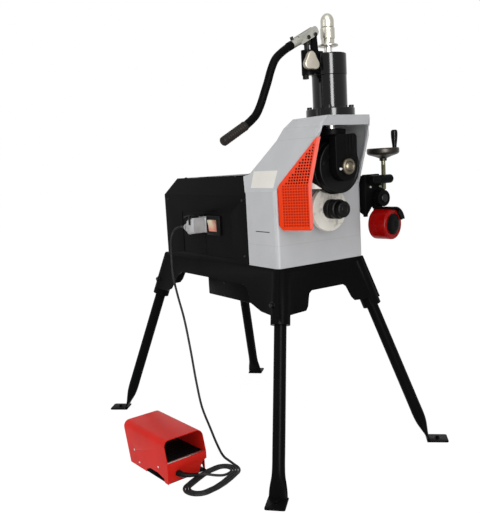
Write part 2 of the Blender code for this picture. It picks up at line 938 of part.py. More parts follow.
def build_drive_roll():
    """A blind roll on the spindle nose: a groove in its thick part and a rounded end."""
    rear = disc_front - gap
    hole = spindle_nose_radius + gap
    seat = drive_roll_front + 0.012 - gap
    groove = groove_half_width + 0.001
    profile = [
        (0, drive_roll_front),
        (drive_roll_end_radius - 0.006, drive_roll_front),
        (drive_roll_end_radius, drive_roll_front + 0.006),
        (drive_roll_end_radius, drive_roll_step - 0.003),
        (drive_roll_radius, drive_roll_step + 0.001),
        (drive_roll_radius, groove_centre - groove - 0.001),
        (drive_roll_radius - groove_depth, groove_centre - groove),
        (drive_roll_radius - groove_depth, groove_centre + groove),
        (drive_roll_radius, groove_centre + groove + 0.001),
        (drive_roll_radius, rear),
        (hole, rear),
        (hole, seat),
        (0, seat),
    ]
    return turned("drive roll", profile, (0, 0, spindle_height), (0, 1, 0), large_round)


# Slide and upper roll


def build_slide():
    round_end = arc((0, upper_roll_height), slide_half_width, 180, 360, 14)
    corner = arc((slide_half_width - slide_corner, slide_top - slide_corner), slide_corner, 0, 90, 4)
    outline = round_end + corner + [(-x, z) for x, z in reversed(corner)]
    slide = plate("slide", outline, "Y", slide_front, slide_rear)
    boss = rod("boss", on_ram(slide_top - 0.004), on_ram(slide_top + boss_height), boss_radius, middle_round)
    weld(slide, boss)
    tongue = block(
        "tongue",
        (-tongue_half_width, tongue_half_width),
        (slide_rear - 0.01, tongue_rear),
        (tongue_low, slide_top - 0.007),
    )
    weld(slide, tongue)
    slot_top = upper_roll_height + upper_roll_radius + upper_roll_rib + roll_clearance
    slot_low = upper_roll_height - 0.131
    fork = (upper_roll_front - fork_clearance, upper_roll_rear + fork_clearance)
    carve(slide, block("slot", (-0.1, 0.1), fork, (slot_low, slot_top)))
    bore = rod(
        "bore",
        (0, slide_front - 0.01, upper_roll_height),
        (0, slide_rear + 0.002, upper_roll_height),
        roll_shaft_radius + gap,
        middle_round,
    )
    carve(slide, bore)
    rib_y = (slide_front - 0.01, slide_front + rib_depth)
    rib_z = (upper_roll_height + rib_rise, slide_top + 0.073)
    carve(slide, block("rib", (rib_start, rib_start + rib_width), rib_y, rib_z))
    seat = rod("rod seat", on_ram(slide_top - 0.004), on_ram(head_top + 0.02), rod_radius + gap, middle_round)
    return carve(slide, seat)


def build_roll_shaft():
    nut_front = slide_front - gap - shaft_nut_thickness
    profile = [
        (0, nut_front),
        (shaft_nut_radius - 0.010, nut_front),
        (shaft_nut_radius - 0.008, nut_front + 0.002),
        (shaft_nut_radius - 0.002, nut_front + 0.004),
        (shaft_nut_radius, nut_front + 0.007),
        (shaft_nut_radius, slide_front - gap),
        (roll_shaft_radius, slide_front - gap),
        (roll_shaft_radius, slide_rear + 0.0015),
        (0, slide_rear + 0.0015),
    ]
    return turned("shaft", profile, (0, 0, upper_roll_height), (0, 1, 0), middle_round)


def build_upper_roll():
    hole = roll_shaft_radius + running_fit
    ridge = upper_roll_radius + upper_roll_rib
    profile = [
        (hole, upper_roll_front),
        (upper_roll_radius - 0.003, upper_roll_front),
        (upper_roll_radius, upper_roll_front + 0.003),
        (upper_roll_radius, groove_centre - groove_half_width - 0.001),
        (ridge, groove_centre - groove_half_width + 0.001),
        (ridge, groove_centre + groove_half_width - 0.001),
        (upper_roll_radius, groove_centre + groove_half_width + 0.001),
        (upper_roll_radius, upper_roll_rear - 0.002),
        (upper_roll_radius - 0.002, upper_roll_rear),
        (hole, upper_roll_rear),
    ]
    return turned("upper roll", profile, (0, 0, upper_roll_height), (0, 1, 0), large_round, ring=True)


# Hand ram


def on_ram(z=0.0):
    return (0, ram_y, z)


def build_cylinder():
    low = head_top + gap
    hole = rod_radius + running_fit
    profile = [
        (hole, low),
        (flange_radius, low),
        (flange_radius, flange_top),
        (cylinder_radius, flange_top),
        (cylinder_radius, cylinder_top - gap),
        (cylinder_bore, cylinder_top - gap),
        (cylinder_bore, cylinder_floor),
        (hole, cylinder_floor),
    ]
    return turned("cylinder", profile, on_ram(), (0, 0, 1), large_round, ring=True)


def build_reservoir():
    hole = stem_radius + running_fit
    inner = reservoir_radius - reservoir_wall
    profile = [
        (hole, cylinder_top),
        (reservoir_radius, cylinder_top),
        (reservoir_radius, reservoir_top - 0.003),
        (reservoir_radius - 0.003, reservoir_top),
        (hole, reservoir_top),
        (hole, reservoir_top - reservoir_end),
        (inner, reservoir_top - reservoir_end),
        (inner, cylinder_top + reservoir_end),
        (hole, cylinder_top + reservoir_end),
    ]
    return turned("reservoir", profile, on_ram(), (0, 0, 1), large_round, ring=True)


def build_ram_rod():
    low = slide_top - 0.0035
    top = nut_top - 0.008
    profile = [
        (0, low),
        (rod_radius, low),
        (rod_radius, piston_low),
        (cylinder_bore - running_fit, piston_low),
        (cylinder_bore - running_fit, piston_low + piston_thickness),
        (stem_radius, piston_low + piston_thickness),
        (stem_radius, top),
        (0, top),
    ]
    return turned("ram rod", profile, on_ram(), (0, 0, 1), middle_round)


def build_return_spring():
    """The coil's outer shape; it stands on the cylinder's floor under the piston."""
    inner = rod_radius + 0.002
    outer = cylinder_bore - 0.009
    low = cylinder_floor + gap
    return tube("spring", low, piston_low - gap, inner, outer, on_ram(), (0, 0, 1), large_round)


def build_depth_nut():
    hole = stem_radius + gap
    profile = [
        (hole, nut_low),
        (nut_ring_radius - 0.002, nut_low),
        (nut_ring_radius, nut_low + 0.003),
        (nut_ring_radius, nut_low + nut_ring_thickness - 0.003),
        (nut_ring_radius - 0.003, nut_low + nut_ring_thickness),
        (nut_radius, nut_low + nut_ring_thickness),
        (nut_radius, nut_top - 0.002),
        (nut_radius - 0.002, nut_top),
        (hole, nut_top),
    ]
    return turned("nut", profile, on_ram(), (0, 0, 1), middle_round, ring=True)


def build_depth_cap():
    low = nut_top + gap
    height = cap_top - low
    spigot = stem_radius - gap
    profile = [(0, nut_top - 0.0075), (spigot, nut_top - 0.0075), (spigot, low), (cap_radius, low)]
    profile.append((cap_radius, low + height * 0.42))
    dome = height * 0.58
    for i in range(1, 6):
        angle = math.pi / 2 * i / 6
        profile.append((cap_radius * math.cos(angle), low + height * 0.42 + dome * math.sin(angle)))
    profile.append((0, cap_top))
    return turned("cap", profile, on_ram(), (0, 0, 1), middle_round)


def build_pump_block():
    pump_top = reservoir_top + pump_crown
    body = rod("pump", (pump_x, ram_y, pump_low), (pump_x, ram_y, pump_top), pump_radius, middle_round)
    deep = (ram_y - 0.014, ram_y + 0.014)
    saddle = block("saddle", (pump_x, pump_x + 0.052), deep, (pump_low + 0.006, reservoir_top))
    weld(body, saddle)
    union_x = pump_x - 0.008
    union = rod("union", (union_x, ram_y, pump_low - 0.012), (union_x, ram_y, pump_low + 0.002), 0.009, 6)
    weld(body, union)
    carve(body, rod("ram", on_ram(head_top), on_ram(cap_top), reservoir_radius + gap, large_round))
    hole = rod(
        "bore",
        (pump_x, ram_y, plunger_low - 0.005),
        (pump_x, ram_y, reservoir_top + 0.05),
        plunger_radius + running_fit,
        small_round,
    )
    carve(body, hole)
    face = (knob_x, ram_y - pump_radius - 0.010, knob_z)
    return carve(body, rod("valve", face, (knob_x, ram_y - 0.011, knob_z), 0.004 + gap, small_round))


def build_release_knob():
    """A three-lobed knob in front of the pump."""
    rear = ram_y - pump_radius - 0.003
    outline = []
    steps = 24
    for i in range(steps):
        angle = 2 * math.pi * i / steps
        radius = knob_radius * (0.86 + 0.14 * math.cos(3 * (angle - math.pi / 2)))
        outline.append((knob_x + radius * math.cos(angle), knob_z + radius * math.sin(angle)))
    knob = plate("knob", outline, "Y", rear - knob_thickness, rear)
    soften(knob, 0.0025, 1, 60)
    stem = rod("stem", (knob_x, rear - 0.005, knob_z), (knob_x, ram_y - 0.0115, knob_z), 0.004, small_round)
    return weld(knob, stem)


def build_fulcrum_link():
    low = reservoir_top + gap
    half = 0.005
    foot_x = (fulcrum_x - 0.008, fulcrum_x + 0.026)
    foot = block("foot", foot_x, (ram_y - 0.011, ram_y + 0.011), (low, low + 0.006))
    heel = foot_x[0] + 0.0002
    outline = [(fulcrum_x + 0.014, low + 0.003), *arc((fulcrum_x, fulcrum_z), 0.0095, 0, 180, 8)]
    outline += [(fulcrum_x - 0.0095, reservoir_top + 0.016), (heel, reservoir_top + 0.011)]
    outline += [(heel, low + 0.003)]
    weld(foot, plate("lug", outline, "Y", ram_y - half, ram_y + half))
    pin = rod(
        "pin",
        (fulcrum_x, ram_y - 0.02, fulcrum_z),
        (fulcrum_x, ram_y + 0.02, fulcrum_z),
        pin_radius + running_fit,
        small_round,
    )
    return carve(foot, pin)


def build_plunger():
    """A rod with a flat tongue; its eye is a slot, which gives the pin room to swing."""
    low = plunger_low
    high = plunger_pin_z - 0.015
    shaft = rod("plunger", (pump_x, ram_y, low), (pump_x, ram_y, high), plunger_radius, small_round)
    half = 0.0115
    tongue_top = plunger_pin_z + 0.0105
    tongue = [(pump_x - half, plunger_pin_z - 0.020), (pump_x + half, plunger_pin_z - 0.020)]
    tongue += [(pump_x + half, tongue_top - 0.004), (pump_x + half - 0.004, tongue_top)]
    tongue += [(pump_x - half + 0.004, tongue_top), (pump_x - half, tongue_top - 0.004)]
    weld(shaft, plate("tongue", tongue, "Y", ram_y - 0.004, ram_y + 0.004))
    play = 0.0032
    eye = pin_radius + running_fit + 0.0002
    slot = arc((pump_x + play, plunger_pin_z), eye, -90, 90, 6)
    slot += arc((pump_x - play, plunger_pin_z), eye, 90, 270, 6)
    return carve(shaft, plate("eye", slot, "Y", ram_y - 0.02, ram_y + 0.02))


def socket_frame():
    """The lever socket's own frame: its right end, and the directions along and square to it."""
    along = (socket_left - socket_right).normalized()
    return socket_right, socket_left, along, Vector((-along.z, 0, along.x))


def build_lever_socket():
    right, left, along, square = socket_frame()
    length = (left - right).length
    half = fork_depth / 2
    outline = []
    profile = [(0.006, half), (0, half - 0.006), (0, -half + 0.006), (0.006, -half), (length - 0.028, -half)]
    profile.append((length - 0.028, half))
    for distance, aside in profile:
        point = right + along * distance + square * aside
        outline.append((point.x, point.z))
    bar = plate("fork", outline, "Y", ram_y - fork_width / 2, ram_y + fork_width / 2)
    weld(bar, rod("barrel", right + along * (length - 0.036), left, half - 0.0007, middle_round))
    inside = []
    for distance, aside in [(-0.01, half + 0.02), (-0.01, -half - 0.02), (length - 0.040, -half - 0.02)]:
        point = right + along * distance + square * aside
        inside.append((point.x, point.z))
    point = right + along * (length - 0.040) + square * (half + 0.02)
    inside.append((point.x, point.z))
    carve(bar, plate("gap", inside, "Y", ram_y - fork_gap / 2, ram_y + fork_gap / 2))
    for x, z in ((fulcrum_x, fulcrum_z), (pump_x, plunger_pin_z)):
        carve(bar, rod("pin", (x, ram_y - 0.02, z), (x, ram_y + 0.02, z), pin_radius + gap, small_round))
    return carve(bar, rod("socket", left - along * 0.022, left + along * 0.01, 0.009 + gap, small_round))


def build_lever_pin(x, z):
    half = fork_width / 2 + 0.0025
    return rod("pin", (x, ram_y - half, z), (x, ram_y + half, z), pin_radius, small_round)


def build_lever():
    right, left, along, square = socket_frame()
    bends = [(-0.034, -0.020), (-0.060, -0.041), (-0.0775, -0.071), (-0.0915, -0.105), (-0.105, -0.135)]
    bends += [(-0.121, -0.169), (-0.138, -0.195), (-0.157, -0.211)]
    route = [left + along * 0.0005, *[left + Vector((x, 0, z)) for x, z in bends], grip_start]
    points = smooth_curve(route, 2)
    bar = swept("lever", points, [lever_radius] * len(points), small_round)
    towards = (grip_end - grip_start).normalized()
    core_end = grip_start + towards * (grip_depth - gap)
    weld(bar, rod("core", grip_start - towards * 0.004, core_end, grip_core, small_round))
    return weld(bar, rod("spigot", left - along * 0.020, left + along * 0.003, 0.009, small_round))


def build_grip():
    start = grip_start
    along = (grip_end - start).normalized()
    length = (grip_end - start).length
    first = 0.0015
    hole = grip_core + gap
    profile = [
        (0, grip_depth),
        (hole, grip_depth),
        (hole, first),
        (grip_radius - 0.0015, first),
        (grip_radius, first + 0.003),
        (grip_radius - 0.0012, length * 0.35),
        (grip_radius, length * 0.8),
        (grip_radius - 0.001, length - 0.004),
        (grip_radius - 0.005, length),
        (0, length),
    ]
    return turned("grip", profile, start, along, small_round)


# Throat guard


def guard_point(along, z, out=0.0):
    """A point on the guard's sheet, given along it from the housing corner and off its face."""
    direction = Vector((math.cos(guard_lean), -math.sin(guard_lean), 0))
    outward = Vector((-math.sin(guard_lean), -math.cos(guard_lean), 0))
    return Vector((guard_corner_x, guard_corner_y, z)) + direction * along + outward * out


def build_guard():
    """A folded sheet with square holes; its tab lies on the housing front."""
    outline = [(0.010, guard_low), (guard_length, guard_low), (guard_length, throat_low)]
    outline += [(guard_top_length, brow), (guard_top_length - 0.005, brow)]
    outline += [(0.001, throat_low), (0.001, guard_low + 0.010)]
    outer = [guard_point(a, z, guard_thickness) for a, z in outline]
    inner = [guard_point(a, z, 0) for a, z in outline]
    sheet = loft("guard", [inner, outer])
    size = guard_hole
    pitch = guard_pitch
    holes = []
    for row in range(27):
        z = guard_low + 0.012 + row * pitch
        if z > brow - 0.014:
            break
        rise = max(0.0, z + size - throat_low)
        free_edge = guard_length + (guard_top_length - guard_length) * rise / (brow - throat_low)
        last = free_edge - 0.018
        first = 0.012 + rise * (guard_top_length - 0.006) / (brow - throat_low)
        place_along = last
        while place_along - size > first:
            if z < throat_low - 0.012 and place_along - size < 0.030:
                break
            back = place_along - size
            corners = [(back, z), (place_along, z), (place_along, z + size), (back, z + size)]
            hole = [[guard_point(a, height, out) for a, height in corners] for out in (-0.01, 0.01)]
            holes.append(loft("hole", hole))
            place_along -= pitch
    carve(sheet, gather(holes))
    front = deck_front - gap
    tab = block(
        "tab",
        (guard_corner_x - 0.001, guard_corner_x + guard_tab),
        (front - guard_thickness, front),
        (guard_low + 0.012, front_fold - 0.004),
    )
    return weld(sheet, tab)


# Stabiliser


def build_bracket():
    near = deck_half_width + gap
    foot = bracket_top - 0.137
    far = screw_x - 0.007
    outline = [(near, bracket_top), (far, bracket_top), (far + 0.018, bracket_top - 0.019)]
    outline += [(far + 0.022, bracket_top - 0.084), (far, bracket_top - 0.107)]
    outline += [(near + 0.0287, bracket_top - 0.107), (near + 0.003, foot), (near, foot)]
    front = plate("bracket", outline, "Y", bracket_front, bracket_front + bracket_plate)
    side = [(bracket_front + 0.002, bracket_top), (bracket_rear, bracket_top - 0.019)]
    side += [(bracket_rear, bracket_top - 0.089), (bracket_front + 0.002, foot)]
    weld(front, plate("side", side, "X", near, near + bracket_plate))
    start = (hub_x, bracket_front - 0.01, hub_z)
    end = (hub_x, bracket_front + 0.0105, hub_z)
    return carve(front, rod("pin", start, end, arm_pin_radius + gap, small_round))


def build_crossbar():
    start = deck_half_width + 0.010
    length = crossbar_end - start
    profile = [(0, 0), (crossbar_radius - 0.002, 0), (crossbar_radius, 0.002)]
    profile += [(crossbar_radius, length - 0.006), (crossbar_radius - 0.002, length - 0.0025)]
    profile += [(crossbar_radius - 0.006, length), (0, length)]
    bar = turned("crossbar", profile, (start, crossbar_y, crossbar_z), (1, 0, 0), middle_round)
    hole = rod(
        "hole",
        (screw_x, crossbar_y, crossbar_z - 0.03),
        (screw_x, crossbar_y, crossbar_z + 0.03),
        screw_radius + running_fit,
        middle_round,
    )
    return carve(bar, hole)


def build_screw():
    top = handwheel_low + 0.020
    profile = [
        (0, screw_tip),
        (screw_radius - 0.004, screw_tip),
        (screw_radius, screw_tip + 0.0045),
        (screw_radius, collar_z),
        (collar_radius - 0.002, collar_z),
        (collar_radius, collar_z + 0.006),
        (collar_radius, handwheel_low - gap),
        (screw_radius, handwheel_low - gap),
        (screw_radius, top),
        (0, top),
    ]
    return turned("screw", profile, (screw_x, crossbar_y, 0), (0, 0, 1), middle_round)


def build_handwheel():
    """A dished wheel: a heavy rim, a sunk web and a hub."""
    hole = screw_radius + gap
    profile = [
        (hole, handwheel_low),
        (0.015, handwheel_low),
        (handwheel_radius - 0.004, handwheel_low + 0.007),
        (handwheel_radius, handwheel_low + 0.010),
        (handwheel_radius, handwheel_top - 0.002),
        (handwheel_radius - 0.002, handwheel_top),
        (handwheel_radius - 0.009, handwheel_top),
        (handwheel_radius - 0.012, handwheel_low + 0.016),
        (0.016, handwheel_low + 0.012),
        (0.014, handwheel_top - 0.001),
        (hole, handwheel_top - 0.001),
    ]
    wheel = turned("handwheel", profile, (screw_x, crossbar_y, 0), (0, 0, 1), large_round, ring=True)
    x, y = crank_place()
    weld(wheel, rod("crank boss", (x, y, handwheel_low + 0.012), (x, y, handwheel_top), 0.009, 8))
    low = (x, y, handwheel_top - 0.008)
    high = (x, y, handwheel_top + 0.01)
    return carve(wheel, rod("crank hole", low, high, 0.004 + gap, small_round))


def crank_place():
    angle = math.radians(-34)
    return screw_x + crank_offset * math.cos(angle), crossbar_y + crank_offset * math.sin(angle)


def build_crank():
    x, y = crank_place()
    low = handwheel_top + gap
    profile = [
        (0, handwheel_top - 0.0075),
        (0.004, handwheel_top - 0.0075),
        (0.004, low),
        (0.0070, low),
        (0.0075, low + 0.006),
        (crank_radius - 0.001, low + 0.028),
        (crank_radius, crank_top - 0.012),
        (crank_radius - 0.001, crank_top - 0.003),
        (crank_radius - 0.004, crank_top),
        (0, crank_top),
    ]
    return turned("crank", profile, (x, y, 0), (0, 0, 1), small_round)


roller_towards = Vector((math.sin(roller_yaw), -math.cos(roller_yaw), 0))
roller_rightward = Vector((math.cos(roller_yaw), math.sin(roller_yaw), 0))


def carrier_outline(points, low, high):
    """A prism square to the roller's axis; its points are (right, up) of the roller's middle."""
    sections = []
    for along in (low, high):
        start = roller_far + roller_towards * along
        sections.append([start + roller_rightward * a + Vector((0, 0, b)) for a, b in points])
    return loft("carrier", sections)


def build_stabiliser_arm():
    """A hub with a cheek for the roller's axle and a hood over the roller."""
    hub_offset = (hub_x - roller_far.x) / math.cos(roller_yaw)
    rise = hub_z - roller_far.z
    cheek = arc((0, 0), 0.018, 180, 360, 8)
    cheek += [(hub_offset + 0.020, rise - 0.014), (hub_offset + 0.014, rise + 0.006)]
    cheek += [(hub_offset - 0.016, rise + 0.006)]
    arm = carrier_outline(cheek, -0.0075, -0.0015)
    hub_end = (hub_x, bracket_front - gap, hub_z)
    weld(arm, rod("hub", (hub_x, hub_front, hub_z), hub_end, hub_radius, middle_round))
    inner = roller_radius + 0.0022
    outer = inner + 0.005
    hood = arc((0, 0), outer, 14, 100, 9) + arc((0, 0), inner, 100, 14, 9)
    weld(arm, carrier_outline(hood, -0.0070, roller_length + 0.008))
    flap = arc((0, 0), outer - 0.002, 16, 62, 6) + arc((0, 0), outer - 0.018, 62, 16, 5)
    weld(arm, carrier_outline(flap, roller_length + 0.0025, roller_length + 0.0074))
    start = (hub_x, hub_front - 0.02, hub_z)
    end = (hub_x, bracket_front + 0.02, hub_z)
    carve(arm, rod("pin", start, end, arm_pin_radius + running_fit, middle_round))
    start = roller_far - roller_towards * 0.02
    end = roller_far + roller_towards * 0.001
    return carve(arm, rod("axle bore", start, end, roller_axle_radius + gap, middle_round))


def build_arm_pin():
    profile = [
        (0, hub_front - 0.0045),
        (0.011, hub_front - 0.0045),
        (0.013, hub_front - 0.003),
        (0.013, hub_front - gap),
        (arm_pin_radius, hub_front - gap),
        (arm_pin_radius, bracket_front + 0.010),
        (0, bracket_front + 0.010),
    ]
    return turned("arm pin", profile, (hub_x, 0, hub_z), (0, 1, 0), small_round)


def build_roller():
    hole = roller_axle_radius + running_fit
    profile = [(hole, 0), (roller_radius - 0.006, 0)]
    profile += [(roller_radius - 0.0018, 0.0018), (roller_radius, 0.006)]
    profile += [(roller_radius, roller_length - 0.006), (roller_radius - 0.0018, roller_length - 0.0018)]
    profile += [(roller_radius - 0.006, roller_length), (hole, roller_length)]
    return turned("roller", profile, roller_far, roller_towards, large_round, ring=True)


def build_roller_axle():
    cap = roller_length + gap
    profile = [
        (0, -0.0115),
        (0.0125, -0.0115),
        (0.0125, -0.0075 - gap),
        (roller_axle_radius, -0.0075 - gap),
        (roller_axle_radius, cap),
        (0.026, cap),
        (0.026, cap + 0.0015),
        (0.020, cap + 0.005),
        (0, cap + 0.005),
    ]
    return turned("roller axle", profile, roller_far, roller_towards, middle_round)


# Switch and plug


def around_switch(front, rear, height):
    """The front and rear reach of a switch part, and its lowest and highest point."""
    return (switch_y - front, switch_y + rear), (switch_z - height, switch_z + height)


def build_bezel():
    side = -deck_half_width
    face = block("bezel", (side - 0.006, side + panel_depth - gap), *around_switch(0.041, 0.041, 0.0335))
    soften(face, 0.002, 2)
    weld(face, block("body", (side - 0.001, side + 0.026), *around_switch(0.034, 0.034, 0.024)))
    pocket = around_switch(rocker_front + rocker_clearance, rocker_rear + rocker_clearance, rocker_pocket)
    return carve(face, block("pocket", (side - 0.02, side + 0.018), *pocket))


def build_rocker():
    """A rocker whose ends stay inside one radius about its pivot; two stubs carry it in the bezel."""
    side = -deck_half_width
    reach = rocker_pocket - 0.0007
    crest = math.radians(68.6)
    own = [(0.009, -0.012), (0.009, 0.012), (0.001, reach - 0.0004)]
    own += [(-reach * math.cos(crest), reach * math.sin(crest)), (-0.0058, 0)]
    own += [(-reach * math.cos(crest), -reach * math.sin(crest)), (0.001, -reach + 0.0004)]
    lean = math.sin(rocker_tilt)
    level = math.cos(rocker_tilt)
    outline = [(side + x * level - z * lean, switch_z + x * lean + z * level) for x, z in own]
    rocker = plate("rocker", outline, "Y", switch_y - rocker_front, switch_y + rocker_rear)
    ends = rocker_clearance - gap
    start = (side, switch_y - rocker_front - ends, switch_z)
    end = (side, switch_y + rocker_rear + ends, switch_z)
    return weld(rocker, rod("stubs", start, end, 0.003, small_round))


def build_connector_base():
    side = -deck_half_width
    high = (plug_z - 0.028, plug_z + 0.028)
    deep = (side - plug_base_out, side + panel_depth - gap)
    base = block("connector base", deep, (plug_y, plug_y + 0.044), high)
    return soften(base, 0.002, 2)


def build_connector_hood():
    """A cast hood that narrows to the cable gland."""
    near = -deck_half_width - plug_base_out - gap
    far = -deck_half_width - plug_out
    front = plug_y + 0.002
    sections = []
    stations = [
        (front, 0.026, near, far + 0.004),
        (front + 0.008, 0.027, near, far),
        (front + 0.042, 0.026, near, far + 0.002),
        (front + 0.046, 0.022, near - 0.010, far + 0.005),
        (front + 0.066, 0.016, near - 0.012, far + 0.009),
    ]
    for y, half, inner, outer in stations:
        middle = plug_z - 0.010 * (y - front) / 0.066
        cut = 0.006
        shape = [(inner, middle - half), (inner, middle + half), (outer + cut, middle + half)]
        shape += [(outer, middle + half - cut), (outer, middle - half + cut), (outer + cut, middle - half)]
        sections.append([(x, y, z) for x, z in shape])
    hood = loft("hood", sections)
    start = Vector((gland_x, front + 0.060, plug_z - 0.0095))
    back = Vector((0, 1, 0))
    weld(hood, rod("gland", start, start + back * 0.020, 0.0115, small_round))
    return weld(hood, rod("sleeve", start + back * 0.018, start + back * 0.044, 0.0085, small_round, 0.0060))


# Foot pedal


def pedal_matrix():
    return Matrix.Translation(pedal_corner) @ Matrix.Rotation(pedal_turn, 4, "Z")


def pedal_axis(x):
    """A point on the tread's pin, in the pedal's own frame."""
    return Vector((x, pedal_pin_y, pedal_pin_z))


def build_pedal_hood():
    """A bent sheet open at both ends, arched over the floor on its sides, with a low front wall."""
    wall = pedal_wall
    radius = pedal_shoulder

    def section(inset, low):
        right = pedal_width - inset
        top = pedal_height - inset
        turn = radius - inset
        points = [(inset, low), (right, low)]
        points += arc((right - turn, top - turn), turn, 0, 90, 5)
        points += arc((inset + turn, top - turn), turn, 90, 180, 5)
        return points

    hood = plate("hood", section(0, 0), "Y", 0, pedal_length)
    carve(hood, plate("tunnel", section(wall, -0.01), "Y", -0.01, pedal_length + 0.01))
    front = block("front", (wall * 0.5, pedal_width - wall * 0.5), (0, wall), (0.004, pedal_sill))
    weld(hood, front)
    mouth = [(-0.01, pedal_sill), (0, pedal_sill), (pedal_mouth_lean, pedal_height + 0.001)]
    mouth.append((-0.01, pedal_height + 0.001))
    carve(hood, plate("mouth", mouth, "X", -0.01, pedal_width + 0.01))
    slant = [(pedal_length - 0.034, -0.01), (pedal_length + 0.01, -0.01)]
    slant += [(pedal_length + 0.01, 0.115), (pedal_length, 0.112)]
    carve(hood, plate("slant", slant, "X", -0.01, pedal_width + 0.01))
    arch = [(0.016, -0.01), (0.024, 0.012), (0.060, 0.020), (0.105, 0.020), (0.128, 0.010), (0.134, -0.01)]
    carve(hood, plate("arch", arch, "X", -0.01, pedal_width + 0.01))
    corner = [(0.112, -0.01), (0.118, 0.016), (0.131, 0.038), (0.16, 0.045), (0.16, -0.01)]
    carve(hood, plate("corner", corner, "Y", -0.01, 0.012))
    carve(hood, rod("relief hole", (0.038, -0.01, 0.027), (0.038, 0.01, 0.027), 0.0075 + gap, small_round))
    for x in (-0.001, pedal_width - wall - 0.001):
        end = x + wall + 0.002
        carve(hood, rod("pin hole", pedal_axis(x), pedal_axis(end), pedal_pin_radius + gap, small_round))
    return move_all(hood, pedal_matrix())


def build_pedal_base():
    wall = pedal_wall
    wide = (wall + gap, pedal_width - wall - gap)
    base = block("base", wide, (wall + gap, pedal_length - 0.036), (0, pedal_base_plate))
    return move_all(base, pedal_matrix())


def build_pedal_switch():
    box = block("switch", (0.045, 0.100), (0.085, 0.150), (pedal_base_plate + gap, 0.036))
    soften(box, 0.002, 1)
    return move_all(box, pedal_matrix())


def build_pedal_plate():
    inner = pedal_wall + 0.0012
    outline = [(0.0065, 0.0560), (0.0065, 0.0610), (0.0120, 0.0645), (0.1700, 0.0600), (0.2120, 0.0565)]
    outline += [(0.2130, 0.0430), (0.1970, 0.0430), (0.1930, 0.0545), (0.0150, 0.0585)]
    tread = plate("tread", outline, "X", inner, pedal_width - inner)
    carve(tread, rod("pin", pedal_axis(-0.1), pedal_axis(0.3), pedal_pin_radius + running_fit, small_round))
    return move_all(tread, pedal_matrix())


def build_pedal_pin():
    pin = rod("pin", pedal_axis(gap), pedal_axis(pedal_width - gap), pedal_pin_radius, small_round)
    return move_all(pin, pedal_matrix())


relief_route = [(0.038, 0.0060, 0.0270), (0.038, -0.0060, 0.0270), (0.0420, -0.0170, 0.0258)]
relief_route += [(0.0540, -0.0270, 0.0235), (0.0700, -0.0340, 0.0210), (0.0840, -0.0385, 0.0190)]


def build_strain_relief():
    """A bent rubber sleeve that holds the cord at the pedal's front wall."""
    points = smooth_curve(relief_route, 3)
    count = len(points)
    radii = [0.0075 - 0.0020 * i / (count - 1) for i in range(count)]
    sleeve = swept("relief", points, radii, small_round)
    inside = pedal_wall + gap
    collar = rod("collar", (0.038, inside, 0.027), (0.038, inside + 0.006, 0.027), 0.011, small_round)
    weld(sleeve, collar)
    return move_all(sleeve, pedal_matrix())


# Cord


def cord_curve(name, points, resolution, material, parent):
    data = bpy.data.curves.new(name, "CURVE")
    data.dimensions = "3D"
    spline = data.splines.new("POLY")
    spline.points.add(len(points) - 1)
    for spot, point in zip(spline.points, points):
        spot.co = (*point, 1.0)
    data.bevel_depth = cord_radius
    data.bevel_resolution = resolution
    data.use_fill_caps = True
    data.materials.append(material)
    cord = bpy.data.objects.new(name, data)
    bpy.context.scene.collection.objects.link(cord)
    cord.parent = parent
    return cord


def cord_run_points():
    start = Vector((gland_x, plug_y + 0.002 + 0.060 + 0.044 + gap, plug_z - 0.0095))
    route = [start, start + Vector((0, 0.009, 0)), (-0.2300, 0.1620, 0.7370), (-0.2380, 0.1780, 0.7100)]
    route += [(-0.2400, 0.1860, 0.6600), (-0.2420, 0.1840, 0.6200), (-0.2470, 0.1720, 0.5700)]
    route += [(-0.2500, 0.1420, 0.5000), (-0.2520, 0.1050, 0.4280), (-0.2550, 0.0660, 0.3140)]
    route += [(-0.2590, 0.0310, 0.1980), (-0.2640, -0.0030, 0.1260), (-0.2720, -0.0640, 0.0700)]
    route += [(-0.2810, -0.1200, 0.0280), (-0.2860, -0.1560, 0.0085), (-0.2880, -0.1760, 0.0045)]
    route += [(-0.2890, -0.1890, 0.0044)]
    return [start, start + Vector((0, 0.004, 0)), *smooth_curve(route[1:], 3)]


loop_centre = Vector((-0.4020, -0.2740, 0.0044))
loop_straight = 0.062
loop_radius = 0.050
loop_pitch = 0.0086
loop_turns = 3.18
loop_tilt = math.radians(20)
loop_start = math.radians(-24.6)


def loop_point(along, across, height=0.0):
    """A point in the loops' own directions, from their middle on the floor."""
    turned_x = along * math.cos(loop_tilt) - across * math.sin(loop_tilt)
    turned_y = along * math.sin(loop_tilt) + across * math.cos(loop_tilt)
    return loop_centre + Vector((turned_x, turned_y, height))


def cord_loop_points():
    """Loose long loops that wind inwards; the inner end climbs over them to the strain relief."""
    start = Vector((-0.2890, -0.1890 - gap, loop_centre.z))
    steps = int(loop_turns * 24)
    loops = []
    for i in range(steps + 1):
        turns = loop_turns * i / steps
        angle = loop_start - 2 * math.pi * turns
        radius = loop_radius - loop_pitch * turns
        middle = math.copysign(loop_straight, math.cos(angle))
        loops.append(loop_point(middle + radius * math.cos(angle), radius * math.sin(angle)))
    points = [start + (loops[0] - start) * share for share in (0, 0.15, 0.4, 0.7)]
    points += loops
    end = pedal_matrix() @ Vector(relief_route[-1])
    before = pedal_matrix() @ Vector(relief_route[-2])
    out = (end - before).normalized()
    last = end + out * gap
    climb = [loops[-1], loop_point(0.040, -0.0195, 0.0008), loop_point(0.018, -0.0030, 0.0051)]
    climb += [loop_point(0.006, 0.0115, 0.0091), last + out * 0.0170 + Vector((0, 0, 0.0006))]
    climb += [last + out * 0.0085, last]
    points += smooth_curve(climb, 3)[1:]
    return points


